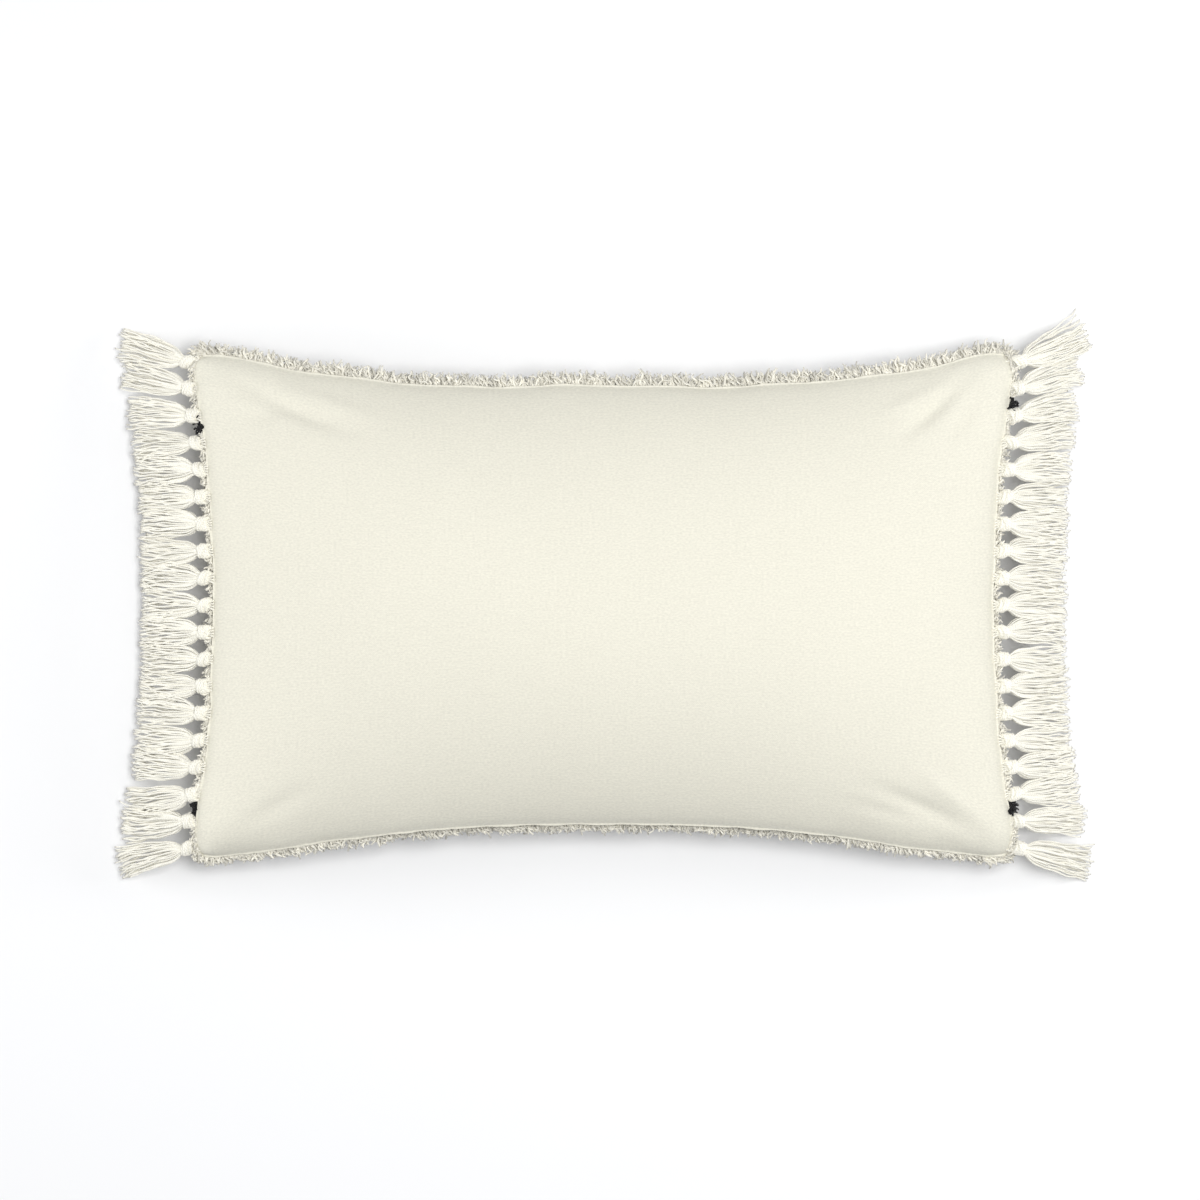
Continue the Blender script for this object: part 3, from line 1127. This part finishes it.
def seam_allowance(c):
    """The panels' turned-in edges, two plies thick, and the strip of cloth that backs the zip."""
    cloth = cloth_material("allowance_cotton", c.cream, c.thread_pitch)
    parts = []
    for short, side, start, end, inner, outer in seam_runs(c):
        for ply in (-0.27, 0.27):
            parts.append(
                seam_strip(c, short, side, start, end, inner, outer, 0.45 * MM, ply * MM, wave=0.12 * MM)
            )
    # The strip behind the zip, lower past the zip's ends, where the cover closes over it.
    x = np.linspace(-152, 152, 60) * MM
    taper = 1 - 0.65 * smooth_step((np.abs(x) - 122 * MM) / (24 * MM))
    outline = np.array([[5.7, -9], [6.1, -9], [6.5, 0], [6.1, 9], [5.7, 9], [6.1, 0]]) * MM
    y = plan(c, x / c.half_length, -1 + 0 * x)[1] + 0.9 * MM
    z = seam_z(c, x / c.half_length, -1)
    parts.append(sections(np.stack([np.stack([x, y + a, z + b * taper], -1) for a, b in outline], 1)))
    assembled("turned_edges", parts, cloth, "cushion", "seam_allowance")


def overlock(c):
    """The overlock thread: a flattened spiral round the raw edge of every run of allowance."""
    thread = yarn_material("sewing_thread", (0.86, 0.86, 0.83), pitch=0.8 * MM, depth=0.05 * MM)
    parts = []
    for short, side, start, end, _, outer in seam_runs(c):
        run = (end - start) * (c.half_width if short else c.half_length)
        loops = int(run / (2.4 * MM))
        turn = np.linspace(0, 2 * np.pi * loops, loops * 8 + 1)
        s = np.linspace(start, end, len(turn))
        reach = outer - 0.8 * MM + 1.3 * MM * np.cos(turn)
        path = seam_spot(c, short, side, s, reach, 0.75 * MM * np.sin(turn))
        parts.append(tubes(path[None], 0.16 * MM, 4))
    assembled("overlock_thread", parts, thread, "cushion", "seam_stitching", 1.0)


def blank_label(c):
    """A blank satin label, folded double and caught in the front's seam beyond the zip."""
    satin, tree, shader = start_material("label_satin")
    surface(shader, {"Base Color": (0.88, 0.88, 0.87, 1), "Roughness": 0.42})
    bump(tree, shader, woven(tree, 0.3 * MM)[1]["Height"], 0.03 * MM)
    s = np.linspace(0.72, 0.81, 14)
    fold = np.array([
        [4.1, .06], [4.1, .34], [6.5, .33], [9.2, .34], [9.7, .22], [9.8, 0], [9.7, -.22], [9.2, -.34],
        [6.5, -.33], [4.1, -.34], [4.1, -.06], [6.5, -.05], [9.0, -.05], [9.2, 0], [9.0, .05], [6.5, .05],
    ]) * MM
    lift = 1.35 * MM + 0.12 * MM * np.sin(s * 90)
    rings = [seam_spot(c, False, -1, s, inset, lift + up) for inset, up in fold]
    assembled("blank_label", [sections(np.stack(rings, 1))], satin, "cushion", "care_label")


# --- The zip ------------------------------------------------------------------------------------

def block(centre, size, bevel):
    """A bevelled block: rings of eight points along y, narrower at the first and last."""
    x, y, z = np.array(size) / 2
    b = bevel
    right = np.array([[x - b, z], [x, z - b], [x, b - z], [x - b, -z]])
    outline = np.concatenate([right, -right])
    steps = [(-y, 1 - b / min(x, z)), (b - y, 1), (y - b, 1), (y, 1 - b / min(x, z))]
    rings = [np.stack([outline[:, 0] * k, np.full(8, along), outline[:, 1] * k], -1) for along, k in steps]
    return sections(np.stack(rings) + np.array(centre))


def zip_tapes(zp):
    """Woven tapes: each stands behind its coil and then leans in along the panel."""
    weave = cloth_material("zip_tape", zp.tape, 0.5 * MM)
    outline = np.array([
        [-0.25, 2.0], [0, 1.96], [0.25, 2.0], [0.25, 3.3], [2.5, 5.2], [5, 7.05], [5.05, 7.25], [5, 7.5],
        [2.4, 5.6], [-0.25, 3.6],
    ]) * MM
    x = np.linspace(-zp.size / 2, zp.size / 2, 60)
    for up, word in ((1, "upper"), (-1, "lower")):
        ripple = 0.1 * MM * np.sin(x * 260 + up)
        rings = []
        for a, b in outline:
            y = zp.across + a + ripple * (b > 4 * MM)
            rings.append(np.stack([x, y, np.full(len(x), zp.height + up * b)], -1))
        tape = sections(np.stack(rings, 1))
        assembled(f"woven_tape_{word}", [tape], weave, "cushion", f"zip_tape_{word}")


def zip_coils(zp):
    """Nylon coils: a wire in a spiral, and the cord in its middle."""
    nylon, _, shader = start_material("nylon")
    surface(shader, {"Base Color": (*zp.nylon, 1), "Roughness": 0.32, "Specular IOR Level": 0.5})
    run = zp.size - 16 * MM
    turns = int(run / zp.coil_pitch)
    turn = np.linspace(0, 2 * np.pi * turns, turns * 8 + 1)
    x = np.linspace(-run / 2, run / 2, len(turn))
    wire = 0.27 * MM
    for up, word in ((1, "upper"), (-1, "lower")):
        middle = zp.height + up * zp.coil_rise
        y = zp.across + (zp.coil_radius - wire) * np.cos(turn)
        z = middle + (zp.coil_radius - wire) * np.sin(turn) * up
        spiral = tubes(np.stack([x, y, z], -1)[None], wire, 5)
        spots = x[::40]
        cord = np.stack([spots, np.full(len(spots), zp.across), np.full(len(spots), middle)], -1)
        parts = [spiral, tubes(cord[None], 0.26 * MM, 8)]
        assembled(f"nylon_coil_{word}", parts, nylon, "cushion", f"zip_coil_{word}")


def metal_material(name, colour):
    """Satin nickel plate with fine marks: a stretched noise in the roughness."""
    made, tree, shader = start_material(name)
    place = put(tree, "ShaderNodeTexCoord").outputs["Object"]
    noise = put(tree, "ShaderNodeTexNoise", {"Vector": place, "Scale": 900.0, "Detail": 2.0}).outputs["Fac"]
    rough = put(tree, "ShaderNodeMapRange", {"Value": noise, "To Min": 0.24, "To Max": 0.4}).outputs[0]
    tree.links.new(rough, shader.inputs["Roughness"])
    surface(shader, {"Base Color": (*colour, 1), "Metallic": 1})
    bump(tree, shader, noise, 0.01 * MM)
    return made


def plate(outline, place, thick, bevel):
    """A bevelled plate: an outline in x and z, extruded along y with a narrower first and last ring."""
    centre = outline.mean(0)
    rings = []
    for y, k in ((-thick / 2, 1), (bevel - thick / 2, 0), (thick / 2 - bevel, 0), (thick / 2, 1)):
        shrunk = centre + (outline - centre) * (1 - k * bevel / np.abs(outline - centre).max())
        rings.append(np.stack([shrunk[:, 0], np.full(len(outline), y), shrunk[:, 1]], -1))
    return sections(np.stack(rings) + np.array(place))


def squarish(wave, power):
    """A wave with its sign kept and its size raised to a power, which squares off a round outline."""
    return np.sign(wave) * np.abs(wave) ** power


def hoop(rings, flip=False):
    """A skin through rings of points, with the last ring joined to the first."""
    count, size, _ = rings.shape
    faces = grid_faces(count + 1, size, flip, closed=True) % (count * size)
    return rings.reshape(-1, 3), [faces], [np.zeros((len(faces), 4, 2))]


def zip_slider(zp):
    """The slider: two shield-shaped plates with flanges, a wedge between the coils and ears with a pin."""
    turn = circle(32)
    half = 4.5
    x = half * squarish(np.cos(turn), 0.5)
    z = (3.15 - 0.35 * (x < 0) * np.abs(x / half) ** 2) * squarish(np.sin(turn), 0.5)
    shield = np.stack([x, z], -1) * MM
    at = np.array([zp.slider_x, zp.across, zp.height])
    parts = [plate(shield, at + [0, front * 1.7 * MM, 0], 1.0 * MM, 0.22 * MM) for front in (-1, 1)]
    for front in (-1, 1):
        for up in (-1, 1):
            flange = at + np.array([0, front * 0.85, up * 2.85]) * MM
            parts.append(block(flange, (8 * MM, 0.75 * MM, 0.55 * MM), 0.12 * MM))
    parts.append(block(at + [3 * MM, 0, 0], (2.8 * MM, 2.6 * MM, 0.36 * MM), 0.1 * MM))
    for up in (-1, 1):
        spot = np.array([zp.pin_x, zp.pin_y + 0.45 * MM, zp.height + up * 2.25 * MM])
        parts.append(block(spot, (2.2 * MM, 2.1 * MM, 0.7 * MM), 0.18 * MM))
    high = np.linspace(-2.45, 2.45, 6) * MM
    pin = np.array([zp.pin_x, zp.pin_y, zp.height]) + high[:, None] * [0, 0, 1]
    parts.append(tubes(pin[None], 0.5 * MM, 16))
    metal = metal_material("nickel", zp.metal)
    assembled("plated_slider", parts, metal, "zip_slider", "zip_slider", faceted=True)


def zip_pull_tab(zp):
    """The pull tab: a flat loop with a knuckle round the pin and a wider grip with a hole."""
    turn = circle(40)
    at = np.array([zp.pin_x, zp.pin_y, zp.height])
    parts = []
    for middle, half, high in ((-7.4, 4.9, 1.15), (-17.2, 3.1, 1.25)):
        x = middle + half * squarish(np.cos(turn), 0.6)
        z = high * squarish(np.sin(turn), 0.6)
        ring = np.stack([x, 0 * x, z], -1) * MM + at
        tangent = unit(np.roll(ring, -1, 0) - np.roll(ring, 1, 0))
        side = unit(np.cross(tangent, [0, 1.0, 0]))
        front = np.array([[.5, .25], [.35, .4], [-.35, .4], [-.5, .25]]) * MM
        shape = np.concatenate([front, -front])
        band = ring[:, None] + side[:, None] * shape[None, :, :1] + np.array([0, 1, 0]) * shape[None, :, 1:]
        parts.append(hoop(band))
    for middle, long in ((-13, 3.0), (-1.9, 2.2)):
        size = (long * MM, 0.78 * MM, 3.0 * MM)
        parts.append(block(at + np.array([middle, 0, 0]) * MM, size, 0.15 * MM))
    around = circle(20)
    knuckle = np.stack([
        np.stack([r * np.cos(around), r * np.sin(around), np.full(len(around), h)], -1)
        for h, r in ((-1.6, 0.62), (-1.6, 0.95), (-1.45, 1.05), (1.45, 1.05), (1.6, 0.95), (1.6, 0.62))
    ]) * MM + at
    parts.append(hoop(knuckle, flip=True))
    metal = metal_material("nickel_pull", zp.metal)
    assembled("plated_pull_tab", parts, metal, "zip_pull_tab", "zip_pull_tab", faceted=True)


def zip_stops(zp):
    """Clips at the coils' ends."""
    parts = []
    for up in (-1, 1):
        spot = (zp.size / 2 - 6.5 * MM, zp.across, zp.height + up * zp.coil_rise)
        parts.append(block(spot, (2.4 * MM, 2.2 * MM, 1.6 * MM), 0.3 * MM))
    spot = (6 * MM - zp.size / 2, zp.across, zp.height)
    parts.append(block(spot, (3.4 * MM, 2.2 * MM, 3.9 * MM), 0.4 * MM))
    metal = metal_material("nickel_stops", zp.metal)
    assembled("crimped_stops", parts, metal, "cushion", "zip_stops", faceted=True)


# --- The inner cushion --------------------------------------------------------------------------

INSERT_GRID = (80, 50)
LUMP_SEED = 5
INSERT_SEAM_END = 0.9


def lumps(u, v):
    """Soft lumps of stuffing from -1 to 1: a sum of turned sine waves that fades at the seams."""
    rng = np.random.default_rng(LUMP_SEED)
    total = 0 * u
    for wave in (5, 8, 12, 17):
        for turn in rng.uniform(0, np.pi, 2):
            phase = rng.uniform(0, 6.28)
            total = total + np.sin(wave * (u * 1.6 * np.cos(turn) + v * np.sin(turn)) + phase) / wave ** 0.7
    return total / 1.6 * (1 - np.maximum(np.abs(u), np.abs(v)) ** 8)


def insert_layer(c, u, v, grow, edge, rise, side, low):
    """A layer of the inner cushion, lumpy by up to 1.2 mm inwards."""
    depth = 1.2 * MM * (lumps(u, v) - 1)
    points = layer(c, u, v, grow, grow, edge, rise, side, low)
    points[..., 2] += side * depth * crown(u, v) ** 0.5
    return points


def insert_casing(c, n):
    """The casing's two panels, of non-woven cloth."""
    cloth, tree, shader = start_material("non_woven")
    place = put(tree, "ShaderNodeTexCoord").outputs["Object"]
    dots = put(tree, "ShaderNodeTexVoronoi", {"Vector": place, "Scale": 700.0}).outputs["Distance"]
    fibre = put(tree, "ShaderNodeTexNoise", {"Vector": place, "Scale": 260.0, "Detail": 4.0}).outputs["Fac"]
    height = calc(tree, "ADD", dots, fibre)
    tree.links.new(shaded(tree, n.white, height, 0.92), shader.inputs["Base Color"])
    surface(shader, {"Roughness": 0.85})
    bump(tree, shader, height, 0.12 * MM)
    columns, rows = INSERT_GRID
    u, v = np.meshgrid(seam_shares(columns), seam_shares(rows), indexing="ij")
    for up, word, low in ((1, "upper", 0), (-1, "lower", n.floor)):
        points = insert_layer(c, u, v, -n.inset, 0.1 * MM + RIM, c.back_rise - n.less_rise, up, low)
        faces = grid_faces(columns, rows, flip=up < 0)
        flat = np.stack([u * c.half_length, v * c.half_width], -1).reshape(-1, 2)
        mesh = make_mesh("casing", points, [faces], [flat[faces]])
        node = f"insert_casing_{word}"
        piece = make_piece(f"casing_{word}", mesh, cloth, "cushion", [node])
        cushioned(piece, n.casing)


def insert_seam(c, n):
    """The casing's sewn edge: a folded rim of two plies with stitches along it."""
    thread = yarn_material("casing_seam", (0.86, 0.87, 0.88), pitch=1.6 * MM, low=0.9)
    parts = []
    for short in (False, True):
        for side in (-1, 1):
            end = INSERT_SEAM_END
            parts.append(seam_strip(c, short, side, -end, end, -1.4 * MM, -0.2 * MM, MM, 0, n.inset))
            s = np.linspace(-end, end, int((c.half_width if short else c.half_length) / MM))
            dash = 0.52 * MM * np.clip(3 * np.sin(np.arange(len(s)) * 1.6), -1, 1)
            path = seam_spot(c, short, side, s, -0.7 * MM, dash, n.inset)
            parts.append(tubes(path[None], 0.14 * MM, 4))
    assembled("casing_seam", parts, thread, "cushion", "insert_seam", 1.0)


def insert_filling(c, n):
    """The fibre filling: an upper and a lower lumpy surface, joined at their edges."""
    fibre, tree, shader = start_material("loose_fibre")
    place = put(tree, "ShaderNodeTexCoord").outputs["Object"]
    tuft = put(tree, "ShaderNodeTexNoise", {"Vector": place, "Scale": 60.0, "Detail": 6.0}).outputs["Fac"]
    tree.links.new(shaded(tree, n.fibre, tuft, 0.85), shader.inputs["Base Color"])
    surface(shader, {"Roughness": 1.0, "Sheen Weight": 0.4})
    bump(tree, shader, tuft, 1.2 * MM)
    columns, rows = INSERT_GRID
    u, v = np.meshgrid(seam_shares(columns), seam_shares(rows), indexing="ij")
    grow = -n.inset - n.casing - 0.4 * MM
    rise = c.back_rise - n.less_rise - n.casing - 0.4 * MM
    low = n.floor + n.casing + 0.3 * MM
    upper = insert_layer(c, u, v, grow, 0.05 * MM, rise, 1, 0)
    under = insert_layer(c, u, v, grow, 0.05 * MM, rise, -1, low)
    count = columns * rows
    first = grid_faces(columns, rows)
    second = grid_faces(columns, rows, flip=True) + count
    loop = border_loop(np.arange(count).reshape(columns, rows))
    after = np.roll(loop, -1)
    rim = np.stack([loop, loop + count, after + count, after], -1)
    faces = np.concatenate([first, second, rim])
    points = np.concatenate([upper.reshape(-1, 3), under.reshape(-1, 3)])
    mesh = make_mesh("filling", points, [faces], [points[faces][..., :2]])
    cushioned(make_piece("fibre_filling", mesh, fibre, "cushion", ["insert_filling"]))


# --- Stage --------------------------------------------------------------------------------------

def area_light(name, place, aim, size, power):
    """A square soft light at a place, aimed at a point."""
    data = bpy.data.lights.new(name, "AREA")
    data.size, data.energy = size, power
    light = bpy.data.objects.new(name, data)
    bpy.context.scene.collection.objects.link(light)
    light.location = place
    light.rotation_euler = (Vector(place) - Vector(aim)).to_track_quat("Z", "Y").to_euler()


def studio(c, st):
    """A pale floor, soft lights on both sides and above, and a long lens straight above."""
    corners = 4.0 * np.array([[-1, -1, 0], [1, -1, 0], [1, 1, 0], [-1, 1, 0]])
    sweep, _, shader = start_material("white_sweep")
    surface(shader, {
        "Base Color": (*st.floor, 1), "Roughness": 0.9, "Specular IOR Level": 0.0,
        "Emission Color": (*st.floor, 1), "Emission Strength": st.floor_glow,
    })
    make_piece("floor", make_mesh("floor", corners, [np.array([[0, 1, 2, 3]])]), sweep, None)

    world = bpy.data.worlds.new("studio")
    world.use_nodes = True
    tree = world.node_tree
    fill = tree.nodes["Background"]
    surface(fill, {"Color": (0.93, 0.96, 1.0, 1), "Strength": st.fill})
    backdrop = put(tree, "ShaderNodeBackground", {"Color": (0.9, 0.91, 0.92, 1), "Strength": 1.0})
    seen = put(tree, "ShaderNodeLightPath").outputs["Is Camera Ray"]
    both = put(tree, "ShaderNodeMixShader", {0: seen, 1: fill.outputs[0], 2: backdrop.outputs[0]})
    tree.links.new(both.outputs[0], tree.nodes["World Output"].inputs["Surface"])

    scene = bpy.context.scene
    scene.world = world
    area_light("right", (1.6, 0.3, 0.8), (0, 0, 0.05), 0.7, st.right)
    area_light("left", (-1.7, 0.1, 0.5), (0, 0, 0.05), 0.9, st.left)
    area_light("top", (0.4, 0.1, 2.3), (0, 0, 0), 0.8, st.top)
    camera = bpy.data.cameras.new("camera")
    camera.type = "PERSP"
    camera.lens = camera.sensor_width * (st.camera_height - c.seam_height) / st.view_width
    camera.clip_start, camera.clip_end = 0.1, 20
    eye = bpy.data.objects.new("camera", camera)
    eye.location = (-0.002, 0.003, st.camera_height)
    scene.collection.objects.link(eye)
    scene.camera = eye
    scene.view_settings.view_transform = "Standard"
    scene.view_settings.look = "None"


# --- Operators ----------------------------------------------------------------------------------

class CUSHION_OT_studio(Operator):
    """Sets up the floor, the lights and the camera."""

    bl_idname = "cushion.studio"
    bl_label = "Studio"

    def execute(self, context):
        studio(context.scene.cushion_cover, context.scene.cushion_stage)
        return {"FINISHED"}


class CUSHION_OT_woven_back(Operator):
    """Stuffs the woven back panel inside its seams."""

    bl_idname = "cushion.woven_back"
    bl_label = "Woven Back"

    def execute(self, context):
        woven_back(context.scene.cushion_cover)
        return {"FINISHED"}


class CUSHION_OT_front_cloth(Operator):
    """Makes the base cloth that the tufts stand in."""

    bl_idname = "cushion.front_cloth"
    bl_label = "Front Cloth"

    def execute(self, context):
        front_cloth(context.scene.cushion_cover)
        return {"FINISHED"}


class CUSHION_OT_tufted_pile(Operator):
    """Tufts the front, its dark rows and the edges along its seams."""

    bl_idname = "cushion.tufted_pile"
    bl_label = "Tufted Pile"

    def execute(self, context):
        tufted_pile(context.scene.cushion_cover, context.scene.cushion_pile)
        return {"FINISHED"}


class CUSHION_OT_knotted_tassels(Operator):
    """Knots the tassels of both short seams."""

    bl_idname = "cushion.knotted_tassels"
    bl_label = "Knotted Tassels"

    def execute(self, context):
        knotted_tassels(context.scene.cushion_cover, context.scene.cushion_tassels)
        return {"FINISHED"}


class CUSHION_OT_fringe_headings(Operator):
    """Weaves the bands that the tassels hang from."""

    bl_idname = "cushion.fringe_headings"
    bl_label = "Fringe Headings"

    def execute(self, context):
        fringe_headings(context.scene.cushion_cover, context.scene.cushion_tassels)
        return {"FINISHED"}


class CUSHION_OT_seam_allowance(Operator):
    """Turns in the panels' edges and backs the zip."""

    bl_idname = "cushion.seam_allowance"
    bl_label = "Seam Allowance"

    def execute(self, context):
        seam_allowance(context.scene.cushion_cover)
        return {"FINISHED"}


class CUSHION_OT_overlock(Operator):
    """Sews round the raw edges of the seam allowance."""

    bl_idname = "cushion.overlock"
    bl_label = "Overlock Thread"

    def execute(self, context):
        overlock(context.scene.cushion_cover)
        return {"FINISHED"}


class CUSHION_OT_blank_label(Operator):
    """Catches a blank label in the zip's seam."""

    bl_idname = "cushion.blank_label"
    bl_label = "Blank Label"

    def execute(self, context):
        blank_label(context.scene.cushion_cover)
        return {"FINISHED"}


class CUSHION_OT_zip_tapes(Operator):
    """Weaves the zip's two tapes."""

    bl_idname = "cushion.zip_tapes"
    bl_label = "Zip Tapes"

    def execute(self, context):
        zip_tapes(context.scene.cushion_zip)
        return {"FINISHED"}


class CUSHION_OT_zip_coils(Operator):
    """Winds the zip's two nylon coils."""

    bl_idname = "cushion.zip_coils"
    bl_label = "Zip Coils"

    def execute(self, context):
        zip_coils(context.scene.cushion_zip)
        return {"FINISHED"}


class CUSHION_OT_zip_slider(Operator):
    """Makes the zip's slider."""

    bl_idname = "cushion.zip_slider"
    bl_label = "Zip Slider"

    def execute(self, context):
        zip_slider(context.scene.cushion_zip)
        return {"FINISHED"}


class CUSHION_OT_zip_pull_tab(Operator):
    """Makes the tab that turns on the slider."""

    bl_idname = "cushion.zip_pull_tab"
    bl_label = "Pull Tab"

    def execute(self, context):
        zip_pull_tab(context.scene.cushion_zip)
        return {"FINISHED"}


class CUSHION_OT_zip_stops(Operator):
    """Crimps the stops at the coils' ends."""

    bl_idname = "cushion.zip_stops"
    bl_label = "Zip Stops"

    def execute(self, context):
        zip_stops(context.scene.cushion_zip)
        return {"FINISHED"}


class CUSHION_OT_insert_casing(Operator):
    """Makes the inner cushion's two panels."""

    bl_idname = "cushion.insert_casing"
    bl_label = "Insert Casing"

    def execute(self, context):
        insert_casing(context.scene.cushion_cover, context.scene.cushion_insert)
        return {"FINISHED"}


class CUSHION_OT_insert_seam(Operator):
    """Sews the inner cushion's edge."""

    bl_idname = "cushion.insert_seam"
    bl_label = "Casing Seam"

    def execute(self, context):
        insert_seam(context.scene.cushion_cover, context.scene.cushion_insert)
        return {"FINISHED"}


class CUSHION_OT_insert_filling(Operator):
    """Fills the inner cushion."""

    bl_idname = "cushion.insert_filling"
    bl_label = "Fibre Filling"

    def execute(self, context):
        insert_filling(context.scene.cushion_cover, context.scene.cushion_insert)
        return {"FINISHED"}


class CUSHION_PT_sidebar(Panel):
    """Lists the cushion's settings, and under them the operators that make its pieces."""

    bl_idname = "CUSHION_PT_sidebar"
    bl_label = "Tasselled Cushion"
    bl_space_type = "VIEW_3D"
    bl_region_type = "UI"
    bl_category = "Cushion"

    def draw(self, context):
        for key, settings in SETTINGS.items():
            held = getattr(context.scene, key)
            box = self.layout.box()
            box.label(text=settings.__doc__)
            for name in settings.__annotations__:
                box.prop(held, name)
        for step in STEPS:
            self.layout.operator(step.bl_idname)


SETTINGS = {
    "cushion_cover": CushionCover,
    "cushion_pile": CushionPile,
    "cushion_tassels": CushionTassels,
    "cushion_zip": CushionZip,
    "cushion_insert": CushionInsert,
    "cushion_stage": CushionStage,
}
STEPS = (
    CUSHION_OT_studio, CUSHION_OT_woven_back, CUSHION_OT_front_cloth,
    CUSHION_OT_tufted_pile, CUSHION_OT_knotted_tassels, CUSHION_OT_fringe_headings,
    CUSHION_OT_seam_allowance, CUSHION_OT_overlock, CUSHION_OT_blank_label,
    CUSHION_OT_zip_tapes, CUSHION_OT_zip_coils, CUSHION_OT_zip_slider,
    CUSHION_OT_zip_pull_tab, CUSHION_OT_zip_stops, CUSHION_OT_insert_casing,
    CUSHION_OT_insert_seam, CUSHION_OT_insert_filling,
)
CLASSES = (*SETTINGS.values(), *STEPS, CUSHION_PT_sidebar)


def register():
    """Registers the classes and hangs their settings on the scene."""
    for kind in CLASSES:
        bpy.utils.register_class(kind)
    for key, settings in SETTINGS.items():
        setattr(bpy.types.Scene, key, PointerProperty(type=settings))


def unregister():
    """Takes the settings off the scene and unregisters the classes."""
    for key in SETTINGS:
        delattr(bpy.types.Scene, key)
    for kind in reversed(CLASSES):
        bpy.utils.unregister_class(kind)


def main():
    """Makes the whole cushion and its stage, and writes the sizes of the frame and of what was made."""
    register()
    bpy.ops.cushion.studio()
    bpy.ops.cushion.woven_back()
    bpy.ops.cushion.front_cloth()
    bpy.ops.cushion.tufted_pile()
    bpy.ops.cushion.knotted_tassels()
    bpy.ops.cushion.fringe_headings()
    bpy.ops.cushion.seam_allowance()
    bpy.ops.cushion.overlock()
    bpy.ops.cushion.blank_label()
    bpy.ops.cushion.zip_tapes()
    bpy.ops.cushion.zip_coils()
    bpy.ops.cushion.zip_slider()
    bpy.ops.cushion.zip_pull_tab()
    bpy.ops.cushion.zip_stops()
    bpy.ops.cushion.insert_casing()
    bpy.ops.cushion.insert_seam()
    bpy.ops.cushion.insert_filling()


if __name__ == "__main__":
    main()
